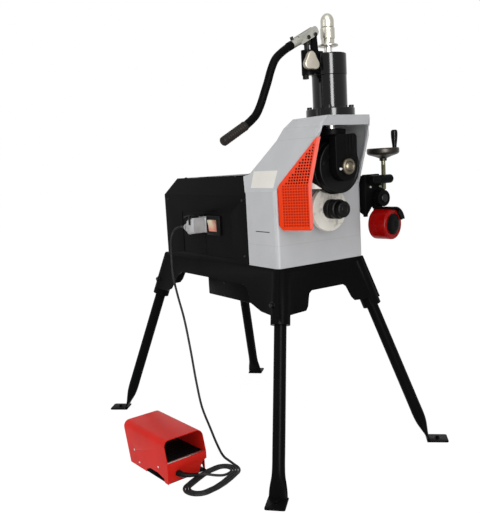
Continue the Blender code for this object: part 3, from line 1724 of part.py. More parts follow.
def least_self_gap(points):
    """The least clear space between turns that lie apart along the cord."""
    least = 1.0
    reach = 10
    for i, a in enumerate(points):
        for b in points[i + reach :]:
            least = min(least, (a - b).length - 2 * cord_radius)
    return least


def stand_on_origin(machine):
    """Moves the machine so that the origin is the middle of its footprint, the cord left out."""
    bpy.context.view_layer.update()
    spots = []
    for piece in bpy.data.objects:
        if piece.type == "MESH":
            spots += [piece.matrix_world @ spot.co for spot in piece.data.vertices]
    xs = [spot.x for spot in spots]
    ys = [spot.y for spot in spots]
    machine.location = (-(min(xs) + max(xs)) / 2, -(min(ys) + max(ys)) / 2, 0)
    print(f"footprint moved by {machine.location.x:.5f} {machine.location.y:.5f}")


def build_machine():
    clear_scene()
    black = paint("black enamel", (0.012, 0.012, 0.013), 0.42)
    cast_black = paint("black casting", (0.015, 0.015, 0.015), 0.5)
    grey = paint("grey enamel", (0.50, 0.52, 0.54), 0.45)
    red = paint("red enamel", (0.80, 0.08, 0.03), 0.45)
    steel = paint("bright steel", (0.60, 0.60, 0.58), 0.3, 1.0)
    dark_steel = paint("dark steel", (0.10, 0.10, 0.10), 0.4, 1.0)
    chrome = paint("polished nickel", (0.80, 0.78, 0.72), 0.15, 1.0)
    white = paint("off-white enamel", (0.80, 0.77, 0.70), 0.5)
    rubber = paint("black rubber", (0.02, 0.02, 0.02), 0.7)
    maroon = paint("red polyurethane", (0.45, 0.02, 0.02), 0.45)
    cream = paint("cream plastic", (0.75, 0.62, 0.42), 0.4)
    zinc = paint("cast zinc", (0.62, 0.63, 0.63), 0.45, 0.6)

    machine = bpy.data.objects.new("machine", None)
    bpy.context.scene.collection.objects.link(machine)

    base = place(build_base_frame(), "base_frame", black, machine)
    for end, end_name in ((-1, "front"), (1, "rear")):
        for side, side_name in ((-1, "left"), (1, "right")):
            place(build_leg(side, end), f"leg_{end_name}_{side_name}", black, base)
    place(build_control_box(), "control_box", black, base)
    place(build_front_housing(), "front_housing", grey, base)
    place(build_motor_cover(), "motor_cover", black, base)
    head = place(build_head_frame(), "head_frame", cast_black, base)
    place(build_gearbox(), "gearbox", cast_black, base)
    place(build_motor(), "motor", cast_black, base)
    place(build_bearing(column_front + 0.002), "front_bearing", steel, head)
    place(build_bearing(column_rear - 0.002 - bearing_width), "rear_bearing", steel, head)
    place(build_guard(), "throat_guard", red, base)

    spindle_origin = (0, disc_front, spindle_height)
    spindle = place(build_spindle(), "spindle", steel, base, spindle_origin)
    place(build_bull_gear(), "bull_gear", dark_steel, spindle, spindle_origin)
    place(build_backing_disc(), "backing_disc", white, spindle, spindle_origin)
    place(build_drive_roll(), "drive_roll", dark_steel, spindle, spindle_origin)
    place(build_pinion_shaft(), "pinion_shaft", dark_steel, base, (0, gear_rear, pinion_height))

    slide = place(build_slide(), "slide_block", cast_black, base, (0, ram_y, upper_roll_height))
    place(build_roll_shaft(), "roll_shaft", steel, slide, (0, ram_y, upper_roll_height))
    place(build_upper_roll(), "upper_roll", dark_steel, slide, (0, groove_centre, upper_roll_height))
    place(build_ram_rod(), "ram_rod", steel, slide, on_ram(slide_top))

    ram = place(build_cylinder(), "ram_cylinder", black, base)
    place(build_reservoir(), "ram_reservoir", black, ram)
    place(build_return_spring(), "return_spring", dark_steel, ram)
    nut = place(build_depth_nut(), "depth_nut", chrome, slide, on_ram(nut_low))
    place(build_depth_cap(), "depth_cap", chrome, nut, on_ram(nut_top))
    pump = place(build_pump_block(), "pump_block", cast_black, ram)
    place(build_release_knob(), "release_knob", zinc, pump, (knob_x, ram_y, knob_z))
    place(build_fulcrum_link(), "fulcrum_link", cast_black, ram)
    place(build_plunger(), "pump_plunger", steel, pump, (pump_x, ram_y, plunger_pin_z))
    fulcrum = (fulcrum_x, ram_y, fulcrum_z)
    socket = place(build_lever_socket(), "lever_socket", zinc, ram, fulcrum)
    place(build_lever_pin(fulcrum_x, fulcrum_z), "fulcrum_pin", steel, socket, fulcrum)
    place(build_lever_pin(pump_x, plunger_pin_z), "plunger_pin", steel, socket, fulcrum)
    place(build_lever(), "pump_lever", black, socket, fulcrum)
    place(build_grip(), "lever_grip", rubber, socket, fulcrum)

    bracket = place(build_bracket(), "stabiliser_bracket", cast_black, base)
    place(build_crossbar(), "stabiliser_crossbar", cast_black, bracket)
    screw_origin = (screw_x, crossbar_y, collar_z)
    screw = place(build_screw(), "stabiliser_screw", dark_steel, bracket, screw_origin)
    place(build_handwheel(), "handwheel", cast_black, screw, screw_origin)
    place(build_crank(), "crank_handle", rubber, screw, (*crank_place(), handwheel_top))
    arm = place(build_stabiliser_arm(), "stabiliser_arm", cast_black, bracket, (hub_x, crossbar_y, hub_z))
    place(build_arm_pin(), "arm_pin", dark_steel, bracket)
    place(build_roller_axle(), "roller_axle", dark_steel, arm, roller_far)
    place(build_roller(), "stabiliser_roller", maroon, arm, roller_far)

    place(build_bezel(), "switch_bezel", cast_black, base)
    place(build_rocker(), "rocker", cream, base, (-deck_half_width, switch_y, switch_z))
    place(build_connector_base(), "connector_base", zinc, base)
    place(build_connector_hood(), "connector_hood", zinc, base)

    pedal = place(build_pedal_base(), "pedal_base", cast_black, machine)
    place(build_pedal_hood(), "pedal_hood", red, pedal)
    place(build_pedal_switch(), "pedal_switch", cast_black, pedal)
    place(build_pedal_pin(), "pedal_pin", steel, pedal)
    tread_axis = pedal_matrix() @ pedal_axis(pedal_width / 2)
    place(build_pedal_plate(), "pedal_plate", cast_black, pedal, tread_axis)
    place(build_strain_relief(), "strain_relief", rubber, pedal)

    run = cord_run_points()
    loops = cord_loop_points()
    cord_curve("cord_run", run, 2, rubber, machine)
    cord_curve("cord_loops", loops, 1, rubber, machine)
    print(f"least gap between cord loops {least_self_gap(loops) * 1000:.2f} mm")
    stand_on_origin(machine)


build_machine()
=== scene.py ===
# Pipe grooving machine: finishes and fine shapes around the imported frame.
# Lengths are metres. A place given as (x, y, z) is measured from the machine's own middle plane.

import json
import math

import bmesh
import bpy
from mathutils import Matrix, Vector


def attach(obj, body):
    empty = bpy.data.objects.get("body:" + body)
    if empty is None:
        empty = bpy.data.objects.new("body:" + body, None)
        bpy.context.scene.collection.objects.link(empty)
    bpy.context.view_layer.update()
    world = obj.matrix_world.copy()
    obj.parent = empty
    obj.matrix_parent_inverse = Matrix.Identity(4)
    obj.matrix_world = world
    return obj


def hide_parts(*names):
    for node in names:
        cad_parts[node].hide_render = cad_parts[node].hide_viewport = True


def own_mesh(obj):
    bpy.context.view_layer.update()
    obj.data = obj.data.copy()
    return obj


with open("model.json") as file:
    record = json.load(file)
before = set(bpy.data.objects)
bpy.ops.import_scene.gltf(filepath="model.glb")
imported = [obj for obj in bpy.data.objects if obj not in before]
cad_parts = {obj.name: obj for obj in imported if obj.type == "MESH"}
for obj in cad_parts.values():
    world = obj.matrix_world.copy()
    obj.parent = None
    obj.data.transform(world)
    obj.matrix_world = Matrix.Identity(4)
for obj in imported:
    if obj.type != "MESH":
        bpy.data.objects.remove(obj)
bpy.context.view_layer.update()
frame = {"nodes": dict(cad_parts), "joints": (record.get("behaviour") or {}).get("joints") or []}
nodes = frame["nodes"]
pivot = {joint["name"]: Vector(joint["pos_m"]) for joint in frame["joints"] if "pos_m" in joint}
middleX = pivot["spindle_spin"].x
ramY = pivot["depth_nut_turn"].y
spindleZ = pivot["spindle_spin"].z
rollZ = pivot["upper_roll_spin"].z
upward = Vector((0, 0, 1))
backward = Vector((0, 1, 0))
frontward = -backward
print("frame loaded")


def at(x, y, z):
    return Vector((middleX + x, y, z))


# Camera

cameraSetup = {
    "place": (-1.39686, -1.9721, 0.956),
    "yaw": 0.5935,
    "pitch": -0.1359,
    "roll": -0.0562,
    "lens": 47.45,
    "sensor": 36.0,
}


def makeCamera():
    yaw, pitch, roll = (cameraSetup[key] for key in ("yaw", "pitch", "roll"))
    forward = Vector((math.sin(yaw) * math.cos(pitch), math.cos(yaw) * math.cos(pitch), math.sin(pitch)))
    level = Vector((math.cos(yaw), -math.sin(yaw), 0))
    above = level.cross(forward)
    right = level * math.cos(roll) + above * math.sin(roll)
    up = above * math.cos(roll) - level * math.sin(roll)
    data = bpy.data.cameras.new("camera")
    data.lens = cameraSetup["lens"]
    data.sensor_width = cameraSetup["sensor"]
    camera = bpy.data.objects.new("camera", data)
    turn = Matrix((right, up, -forward)).transposed().to_4x4()
    camera.matrix_world = Matrix.Translation(at(*cameraSetup["place"])) @ turn
    bpy.context.scene.collection.objects.link(camera)
    bpy.context.scene.camera = camera


# Cord: out of the plug's sleeve, down to the floor, three loose loops, and into the pedal's sleeve.
# The sleeve's points are in the pedal's own frame, the climb's are along, across and above the loops.

cordLook = {
    "diameter": 0.008,
    "length": 2.57,
    "start": (-0.215, 0.1323, 0.7455),
    "straight": (0.004, 0.009),
    "run": [
        (-0.23, 0.162, 0.737), (-0.238, 0.178, 0.71), (-0.24, 0.186, 0.66), (-0.242, 0.184, 0.62),
        (-0.247, 0.172, 0.57), (-0.25, 0.142, 0.5), (-0.252, 0.105, 0.428), (-0.255, 0.066, 0.314),
        (-0.259, 0.031, 0.198), (-0.264, -0.003, 0.126), (-0.272, -0.064, 0.07),
        (-0.281, -0.12, 0.028), (-0.286, -0.156, 0.0085), (-0.288, -0.176, 0.0045),
        (-0.289, -0.189, 0.0044),
    ],
    "floorShares": (0.15, 0.4, 0.7),
    "loopCentre": (-0.402, -0.274, 0.0044),
    "loopStraight": 0.062,
    "loopRadius": 0.05,
    "loopPitch": 0.0086,
    "loopTurns": 3.18,
    "loopTilt": math.radians(20),
    "loopStart": math.radians(-24.6),
    "stepsPerTurn": 24,
    "climb": [(0.04, -0.0195, 0.0008), (0.018, -0.003, 0.0051), (0.006, 0.0115, 0.0091)],
    "sleeve": [
        (0.038, 0.006, 0.027), (0.038, -0.006, 0.027), (0.042, -0.017, 0.0258),
        (0.054, -0.027, 0.0235), (0.07, -0.034, 0.021), (0.084, -0.0385, 0.019),
    ],
    "entry": [(0.0173, 0.0006), (0.0088, 0.0), (0.0003, 0.0)],  # before the sleeve's end, and above it
}
pedalFrame = {"corner": (-0.52, -0.214, 0.0), "turn": math.radians(3.55)}


def pedalPoint(x, y, z):
    turn = pedalFrame["turn"]
    corner = at(*pedalFrame["corner"])
    right = x * math.cos(turn) - y * math.sin(turn)
    back = x * math.sin(turn) + y * math.cos(turn)
    return corner + Vector((right, back, z))


def smoothed(points, perSpan):
    # a smooth curve through the points, its slopes weighed by the lengths beside each point
    points = [Vector(p) for p in points]
    ends = [points[0] * 2 - points[1], *points, points[-1] * 2 - points[-2]]
    found = []
    for a, b, c, d in zip(ends, ends[1:], ends[2:], ends[3:]):
        before, here, after = b - a, c - b, d - c
        span = here.length
        leave = (before * span**2 / before.length + here * before.length) / (before.length + span)
        arrive = (here * after.length + after * span**2 / after.length) / (after.length + span)
        for i in range(perSpan):
            t = i / perSpan
            place = b + here * (3 * t**2 - 2 * t**3)
            found.append(place + leave * (t - 2 * t**2 + t**3) + arrive * (t**3 - t**2))
    found.append(points[-1])
    return found


def cordRoute():
    look = cordLook
    start = at(*look["start"])
    points = [start, *(start + backward * reach for reach in look["straight"])]
    points += [at(*spot) for spot in look["run"]]
    tilt = look["loopTilt"]
    along = Vector((math.cos(tilt), math.sin(tilt), 0))
    across = Vector((-math.sin(tilt), math.cos(tilt), 0))
    centre = at(*look["loopCentre"])
    loops = []
    steps = int(look["loopTurns"] * look["stepsPerTurn"])
    for i in range(steps + 1):
        turns = look["loopTurns"] * i / steps
        angle = look["loopStart"] - math.tau * turns
        radius = look["loopRadius"] - look["loopPitch"] * turns
        reach = math.copysign(look["loopStraight"], math.cos(angle)) + radius * math.cos(angle)
        loops.append(centre + along * reach + across * radius * math.sin(angle))
    floorStart = points[-1]
    points += [floorStart + (loops[0] - floorStart) * share for share in look["floorShares"]]
    points += loops
    points += [centre + along * x + across * y + upward * z for x, y, z in look["climb"]]
    before, end = (pedalPoint(*spot) for spot in look["sleeve"][-2:])
    out = (end - before).normalized()
    points += [end + out * reach + upward * rise for reach, rise in look["entry"]]
    return smoothed(points, perSpan=4)


# Finishes

# the guard's plane and the depths of its holes, which its paint and its shape share; the paint darkens the
# holes as painted shade and lightens the top as painted light
guardSide = {
    "lean": math.radians(61.5),
    "thick": 0.0025,
    "spot": at(-0.1695, -0.3735, 0),
    "skin": 0.0003,
    "holeFloor": 0.0021,
    "paintedLightAbove": 0.86,
}
bendShadeAndJointLines = {"heights": (0.7035, 1.02), "sharpness": 1200, "share": 0.3}
rockerGlowAndShade = {"top": 0.76, "front": -0.004, "sideShadeShare": 0.75}


class Value:
    # a socket in a finish's nodes; Python's own operators add its Math nodes
    def __init__(self, finish, socket):
        self.finish = finish
        self.socket = socket

    def maths(self, operation, first, second):
        return self.finish.node("ShaderNodeMath", {"operation": operation}, [first, second])

    def __add__(self, other):
        return self.maths("ADD", self, other)

    def __radd__(self, other):
        return self.maths("ADD", other, self)

    def __sub__(self, other):
        return self.maths("SUBTRACT", self, other)

    def __rsub__(self, other):
        return self.maths("SUBTRACT", other, self)

    def __mul__(self, other):
        return self.maths("MULTIPLY", self, other)

    def __rmul__(self, other):
        return self.maths("MULTIPLY", other, self)

    def held(self):
        return self.maths("MINIMUM", self.maths("MAXIMUM", self, 0.0), 1.0)


class Finish:
    def __init__(self, name, colour, rough, metal=0.0, gloss=0.5, coat=0.0):
        self.material = bpy.data.materials.new(name)
        self.material.use_nodes = True
        self.tree = self.material.node_tree
        self.shader = self.tree.nodes["Principled BSDF"]
        self.shader.inputs["Base Color"].default_value = (*colour, 1)
        self.shader.inputs["Roughness"].default_value = rough
        self.shader.inputs["Metallic"].default_value = metal
        self.shader.inputs["Specular IOR Level"].default_value = gloss
        self.shader.inputs["Coat Weight"].default_value = coat
        self.shader.inputs["Coat Roughness"].default_value = 0.12

    def feed(self, socket, value):
        if isinstance(value, Value):
            self.tree.links.new(value.socket, socket)
        elif isinstance(value, tuple) and len(value) == 3 and socket.type == "RGBA":
            socket.default_value = (*value, 1)
        else:
            socket.default_value = value

    def node(self, kind, settings=None, sockets=None, output=0):
        made = self.tree.nodes.new(kind)
        for key, setting in (settings or {}).items():
            if key == "stops":
                ramp = made.color_ramp
                for element, (place, shade) in zip(ramp.elements, setting):
                    element.position = place
                    element.color = (shade, shade, shade, 1)
            else:
                setattr(made, key, setting)
        pairs = sockets.items() if isinstance(sockets, dict) else enumerate(sockets or [])
        for key, value in pairs:
            self.feed(made.inputs[key], value)
        return Value(self, made.outputs[output])

    def mix(self, mask, first, second):
        return self.node("ShaderNodeMix", {"data_type": "RGBA"}, {0: mask, 6: first, 7: second}, 2)

    def place(self, scale=(1, 1, 1)):
        spot = self.node("ShaderNodeTexCoord", output="Object")
        return self.node("ShaderNodeMapping", {}, {"Vector": spot, "Scale": scale})

    def noise(self, scale, detail=3.0, spot=None):
        sockets = {"Scale": scale, "Detail": detail, "Roughness": 0.55}
        sockets["Vector"] = spot or self.place()
        return self.node("ShaderNodeTexNoise", {}, sockets)

    def cells(self, scale):
        return self.node("ShaderNodeTexVoronoi", {}, {"Scale": scale, "Vector": self.place()})

    def ramp(self, value, low, high):
        return self.node("ShaderNodeValToRGB", {"stops": [(low, 0.0), (high, 1.0)]}, [value])

    def axis(self, name):
        return self.node("ShaderNodeSeparateXYZ", {}, [self.place()], name)

    def facing(self, name):
        normal = self.node("ShaderNodeNewGeometry", output="Normal")
        return self.node("ShaderNodeSeparateXYZ", {}, [normal], name)

    def bump(self, height, strength, distance):
        sockets = {"Strength": strength, "Distance": distance, "Height": height}
        self.feed(self.shader.inputs["Normal"], self.node("ShaderNodeBump", {}, sockets))

    def colour(self, value):
        self.feed(self.shader.inputs["Base Color"], value)

    def roughness(self, value):
        self.feed(self.shader.inputs["Roughness"], value)


def tint(colour, share):
    return tuple(min(1.0, part * share) for part in colour)


def enamel(name, colour, rough, gloss, peel=0.05, dust=0.06):
    # sprayed paint: a faint orange peel, cloudy patches, and a little dust on what faces up
    finish = Finish(name, colour, rough, gloss=gloss)
    patches = finish.ramp(finish.noise(9, 5), 0.35, 0.7)
    shade = finish.mix(patches, tint(colour, 0.93), tint(colour, 1.07))
    settled = (finish.facing("Z") - 0.6).held() * finish.noise(60, 6) * dust * 4
    finish.colour(finish.mix(settled, shade, (0.55, 0.54, 0.52)))
    smear = finish.noise(28, 4, finish.place((1, 1, 0.3)))
    finish.roughness(rough - 0.06 + smear * 0.12 + settled * 0.3)
    finish.bump(finish.noise(420, 2) + finish.noise(90, 2) * 0.6, peel, 0.0006)
    return finish


def casting(name, colour, rough, gloss):
    # painted cast iron: coarse grain under the paint
    finish = Finish(name, colour, rough, gloss=gloss)
    patches = finish.ramp(finish.noise(22, 6), 0.3, 0.75)
    finish.colour(finish.mix(patches, tint(colour, 0.85), tint(colour, 1.25)))
    finish.roughness(rough - 0.08 + finish.noise(45, 5) * 0.16)
    finish.bump(finish.noise(260, 5) + finish.cells(180) * 0.5, 0.22, 0.0012)
    return finish


def machined(name, colour, rough, grain, stain):
    # turned or ground steel: fine marks one way and a darker film in patches
    finish = Finish(name, colour, rough, metal=1.0)
    marks = finish.noise(900, 3, finish.place(grain))
    film = finish.ramp(finish.noise(38, 6), 0.42, 0.72)
    bright = finish.mix(marks, tint(colour, 0.86), tint(colour, 1.1))
    finish.colour(finish.mix(film * stain, bright, tint(colour, 0.4)))
    finish.roughness(rough + marks * 0.14 + film * 0.1)
    finish.bump(marks, 0.08, 0.0003)
    return finish


def moulded(name, colour, rough, gloss, grain=0.12, scale=500):
    # moulded rubber or plastic with a fine skin
    finish = Finish(name, colour, rough, gloss=gloss)
    patches = finish.noise(30, 5)
    finish.colour(finish.mix(patches, tint(colour, 0.8), tint(colour, 1.25)))
    finish.roughness(rough - 0.07 + finish.noise(60, 4) * 0.14)
    finish.bump(finish.noise(scale, 3), grain, 0.0005)
    return finish


def guardPaint(name):
    # orange-red powder coat, with painted shade darkening it inside the punched holes and painted light
    # making it lighter towards the top
    finish = enamel(name, (0.72, 0.034, 0.008), 0.34, 0.1)
    look = guardSide
    lean, spot = look["lean"], look["spot"]
    reach = spot.x * math.sin(lean) + spot.y * math.cos(lean) - look["thick"]
    depth = finish.axis("X") * math.sin(lean) + finish.axis("Y") * math.cos(lean) - reach
    # painted shade: inside marks the hole walls and pocket floors, which turn dark red
    inside = ((depth - look["skin"]) * 2500).held() * ((look["holeFloor"] - depth) * 5000).held()
    # painted light: the flat sheet turns lighter towards the top
    paintedTopLight = finish.ramp((finish.axis("Z") - look["paintedLightAbove"]) * 5.0, 0.0, 1.0)
    face = finish.mix(paintedTopLight, (0.77, 0.042, 0.004), (0.78, 0.084, 0.048))
    finish.colour(finish.mix(inside, face, (0.38, 0.013, 0.003)))
    return finish


def housingPaint(name):
    # smooth grey enamel with two faint dark lines: painted shade along the sheet's bend and the dark line of
    # its joint
    finish = enamel(name, (0.48, 0.487, 0.5), 0.42, 0.3, dust=0.02)
    height = finish.axis("Z")
    # painted shade along the bend, and the joint's own dark line
    lines = 0.0
    for z in bendShadeAndJointLines["heights"]:
        near = (height - z) * bendShadeAndJointLines["sharpness"]
        lines = (1.0 - near * near).held() + lines
    patches = finish.ramp(finish.noise(9, 5), 0.35, 0.7)
    shade = finish.mix(patches, (0.462, 0.469, 0.482), (0.5, 0.506, 0.518))
    finish.colour(finish.mix(lines * bendShadeAndJointLines["share"], shade, (0.2, 0.2, 0.21)))
    return finish


def whiteDisc(name):
    # off-white enamel on the backing disc, rubbed by pipe ends in short dark arcs
    finish = enamel(name, (0.72, 0.7, 0.63), 0.45, 0.4)
    rubbed = finish.ramp(finish.noise(75, 8, finish.place((1, 0.2, 1))), 0.49, 0.62)
    rings = finish.ramp(finish.noise(14, 3), 0.38, 0.54)
    shade = finish.mix(finish.noise(20, 4), (0.8, 0.78, 0.71), (0.66, 0.63, 0.55))
    finish.colour(finish.mix(rubbed * rings * 0.7, shade, (0.34, 0.32, 0.29)))
    return finish


def grooveRoll(name):
    # blackened tool steel, polished where the pipe runs
    finish = machined(name, (0.012, 0.011, 0.011), 0.38, (1, 6, 1), 0.5)
    worn = finish.ramp(finish.noise(160, 6, finish.place((0.3, 3, 0.3))), 0.62, 0.78)
    finish.colour(finish.mix(worn * 0.35, (0.009, 0.009, 0.009), (0.09, 0.085, 0.08)))
    return finish


def rockerPlastic(name):
    # a lit rocker: cream above, a warm red glow painted low down, and painted shade towards its front edge
    finish = Finish(name, (0.75, 0.6, 0.42), 0.3, gloss=0.5, coat=0.3)
    # a painted glow: the rocker turns warm red below its top height
    warm = finish.ramp((rockerGlowAndShade["top"] - finish.axis("Z")) * 38, 0.1, 0.9)
    side = finish.ramp((rockerGlowAndShade["front"] - finish.axis("Y")) * 36, 0.25, 0.9)
    body = finish.mix(warm, (0.78, 0.66, 0.48), (0.72, 0.24, 0.16))
    # painted shade: towards its front edge the rocker turns dark brown
    finish.colour(finish.mix(side * rockerGlowAndShade["sideShadeShare"], body, (0.42, 0.1, 0.03)))
    finish.roughness(0.26 + finish.noise(90, 3) * 0.1)
    finish.bump(finish.noise(300, 2), 0.05, 0.0003)
    return finish


def polished(name):
    # bright nickel with hairline rubbing marks
    finish = Finish(name, (0.62, 0.6, 0.48), 0.2, metal=1.0)
    marks = finish.noise(700, 4, finish.place((1, 1, 0.15)))
    film = finish.noise(30, 5)
    finish.colour(finish.mix(film, (0.36, 0.35, 0.29), (0.5, 0.49, 0.43)))
    finish.roughness(0.24 + marks * 0.16)
    finish.bump(marks, 0.05, 0.0002)
    return finish


def cordSheath(name):
    # soft black cord, greyed by handling
    finish = Finish(name, (0.007, 0.007, 0.0075), 0.45, gloss=0.1)
    scuffs = finish.ramp(finish.noise(70, 6), 0.5, 0.75)
    finish.colour(finish.mix(scuffs, (0.016, 0.016, 0.017), (0.04, 0.04, 0.04)))
    finish.roughness(0.42 + finish.noise(120, 4) * 0.2)
    finish.bump(finish.noise(380, 3), 0.15, 0.0004)
    return finish


# the record's own slots first, then the finishes of single pieces
finishes = {
    "black_enamel": enamel("blackEnamel", (0.0038, 0.0038, 0.0041), 0.32, 0.016, peel=0.08, dust=0.003),
    "black_sheet": enamel("blackSheet", (0.004, 0.0038, 0.0038), 0.34, 0.014, peel=0.05, dust=0.003),
    "grey_enamel": housingPaint("greyEnamel"),
    "red_enamel": enamel("redEnamel", (0.64, 0.016, 0.009), 0.32, 0.08, peel=0.06, dust=0.006),
    "black_casting": casting("blackCasting", (0.004, 0.004, 0.004), 0.4, 0.022),
    "bright_steel": machined("brightSteel", (0.62, 0.61, 0.58), 0.22, (1, 1, 0.1), 0.35),
    "dark_steel": grooveRoll("darkSteel"),
    "polished_nickel": polished("polishedNickel"),
    "off_white_enamel": whiteDisc("whiteDisc"),
    "cast_zinc": machined("castZinc", (0.34, 0.335, 0.3), 0.38, (0.4, 0.4, 0.4), 0.3),
    "black_rubber": moulded("blackRubber", (0.006, 0.0055, 0.005), 0.5, 0.06, 0.2, 320),
    "red_polyurethane": moulded("redPolyurethane", (0.28, 0.0015, 0.001), 0.26, 0.08, 0.05, 140),
    "black_plastic": moulded("blackPlastic", (0.005, 0.005, 0.005), 0.4, 0.06),
    "cream_plastic": rockerPlastic("rockerPlastic"),
    "bronzeSteel": machined("bronzeSteel", (0.115, 0.1, 0.072), 0.3, (1, 1, 1), 0.6),
    "oliveSteel": machined("oliveSteel", (0.14, 0.13, 0.085), 0.34, (1, 1, 0.2), 0.5),
    "zincBolt": machined("zincBolt", (0.5, 0.5, 0.47), 0.28, (1, 1, 1), 0.4),
    "blackBolt": machined("blackBolt", (0.018, 0.018, 0.018), 0.38, (1, 1, 1), 0.5),
    "cordSheath": cordSheath("cordSheath"),
    "guardRed": guardPaint("guardRed"),
    # a painted highlight: the light red of the guard's flange
    "flangeHighlightRed": enamel("flangeHighlightRed", (0.86, 0.13, 0.09), 0.36, 0.3, peel=0.05, dust=0.01),
    "greaseWhite": moulded("greaseWhite", (0.85, 0.85, 0.82), 0.4, 0.5, 0.05),
    "hoodZinc": casting("hoodZinc", (0.38, 0.38, 0.39), 0.34, 0.5),
    "ramGloss": enamel("ramGloss", (0.003, 0.003, 0.0034), 0.14, 0.2, peel=0.03, dust=0.003),
    "labelCard": enamel("labelCard", (0.74, 0.72, 0.66), 0.45, 0.4),
    "gripRubber": moulded("gripRubber", (0.014, 0.011, 0.009), 0.5, 0.1, 0.2, 320),
    "hubBlack": enamel("hubBlack", (0.004, 0.004, 0.0042), 0.36, 0.02),
    "knobBlack": moulded("knobBlack", (0.0045, 0.0045, 0.0045), 0.26, 0.07, 0.05),
    "knobSatin": machined("knobSatin", (0.36, 0.33, 0.28), 0.46, (0.5, 0.5, 0.5), 0.25),
    "handwheelPaint": machined("handwheelPaint", (0.03, 0.027, 0.024), 0.32, (1, 1, 1), 0.5),
}
print("finishes made")


# Ways of shaping


def arc(centre, radius, start, end, steps):
    turns = [math.radians(start + (end - start) * i / steps) for i in range(steps + 1)]
    return [(centre[0] + radius * math.cos(a), centre[1] + radius * math.sin(a)) for a in turns]


def eased(corners, steps=4, closed=False):
    # rounds each corner given as (a, b, reach)
    points = []
    count = len(corners)
    for i, (a, b, reach) in enumerate(corners):
        inside = closed or 0 < i < count - 1
        if not reach or not inside:
            points.append((a, b))
            continue
        here = Vector((a, b))
        before = here + (Vector(corners[i - 1][:2]) - here).normalized() * reach
        after = here + (Vector(corners[(i + 1) % count][:2]) - here).normalized() * reach
        for k in range(steps + 1):
            t = k / steps
            spot = before * (1 - t) ** 2 + here * 2 * t * (1 - t) + after * t**2
            points.append((spot.x, spot.y))
    return points


def towards(axis):
    return Vector(axis).normalized().to_track_quat("Z", "Y").to_matrix().to_4x4()


def turnedShape(corners, centre, axis, sides=96, ring=False):
    # spins a profile of (radius, distance along the axis, reach of its rounding)
    bm = bmesh.new()
    spots = [bm.verts.new((radius, 0, along)) for radius, along in eased(corners, closed=ring)]
    edges = [bm.edges.new(pair) for pair in zip(spots, spots[1:])]
    if ring:
        edges.append(bm.edges.new((spots[-1], spots[0])))
    geometry = spots + edges
    turn = 2 * math.pi
    bmesh.ops.spin(bm, geom=geometry, cent=(0, 0, 0), axis=(0, 0, 1), angle=turn, steps=sides, use_merge=True)
    bmesh.ops.remove_doubles(bm, verts=bm.verts, dist=1e-6)
    bmesh.ops.recalc_face_normals(bm, faces=bm.faces)
    bmesh.ops.transform(bm, matrix=Matrix.Translation(centre) @ towards(axis), verts=bm.verts)
    return bm


def ringCorners(inner, outer, low, high, lowEase=0, highEase=0):
    # the profile of a plain ring, or of a bar where inner is 0
    return [(inner, low, 0), (outer, low, lowEase), (outer, high, highEase), (inner, high, 0)]


def turnedAlongY(corners, x, z, ring=False, sides=96):
    # corners give (radius, y, reach)
    return turnedShape(corners, at(x, 0, z), backward, sides, ring)


def prismShape(outline, axis, low, high, bevel=0.0, segments=2):
    # an outline of (y, z) along X, (x, z) along Y or (x, y) along Z, x from the middle plane
    spread = {
        "X": lambda a, b: at(low, a, b),
        "Y": lambda a, b: at(a, low, b),
        "Z": lambda a, b: at(a, b, low),
    }[axis]
    step = {"X": (high - low, 0, 0), "Y": (0, high - low, 0), "Z": (0, 0, high - low)}[axis]
    return extrudedShape([spread(a, b) for a, b in outline], step, bevel, segments)


def extrudedShape(points, step, bevel=0.0, segments=2):
    bm = bmesh.new()
    face = bm.faces.new([bm.verts.new(p) for p in points])
    grown = bmesh.ops.extrude_face_region(bm, geom=[face], use_keep_orig=True)
    fresh = [item for item in grown["geom"] if isinstance(item, bmesh.types.BMVert)]
    bmesh.ops.translate(bm, vec=step, verts=fresh)
    bmesh.ops.recalc_face_normals(bm, faces=bm.faces)
    if bevel:
        softenEdges(bm, bevel, segments)
    return bm


def softenEdges(bm, width, segments=2, angle=35):
    sharp = [e for e in bm.edges if e.is_manifold and e.calc_face_angle(0) > math.radians(angle)]
    bmesh.ops.bevel(
        bm,
        geom=sharp,
        offset=width,
        offset_type="OFFSET",
        affect="EDGES",
        segments=segments,
        profile=0.5,
        material=-1,
        clamp_overlap=True,
    )


def blockShape(low, high, bevel=0.0, segments=2):
    low = Vector(low)
    high = Vector(high)
    bm = bmesh.new()
    size = Matrix.Diagonal((*(high - low), 1))
    bmesh.ops.create_cube(bm, size=1, matrix=Matrix.Translation((low + high) / 2) @ size)
    if bevel:
        softenEdges(bm, bevel, segments)
    return bm


def hexShape(centre, axis, across, height, bevel=0.0006):
    bm = bmesh.new()
    radius = across / math.sqrt(3)
    bmesh.ops.create_cone(bm, cap_ends=True, segments=6, radius1=radius, radius2=radius, depth=height)
    softenEdges(bm, bevel, 2)
    lift = Matrix.Translation((0, 0, height / 2))
    bmesh.ops.transform(bm, matrix=Matrix.Translation(centre) @ towards(axis) @ lift, verts=bm.verts)
    return bm


def boltShape(centre, axis, across, washer=True):
    # a hexagon head on its washer
    centre = Vector(centre)
    parts = []
    if washer:
        thick = across * 0.1
        disc = ringCorners(0, across * 0.85, -0.0004, thick, 0, thick * 0.4)
        parts.append(turnedShape(disc, centre, axis, 32))
        centre = centre + Vector(axis).normalized() * thick
    parts.append(hexShape(centre, axis, across, across * 0.62))
    return merged(parts)


def socketScrewShape(centre, axis, radius, height):
    # a cylinder head with its key hole
    key = radius * 0.5
    corners = [(0, -0.0005, 0), (radius, -0.0005, 0), (radius, height, radius * 0.12)]
    corners += [(key, height, radius * 0.05), (key, height * 0.45, 0), (0, height * 0.45, 0)]
    return turnedShape(corners, centre, axis, 32)


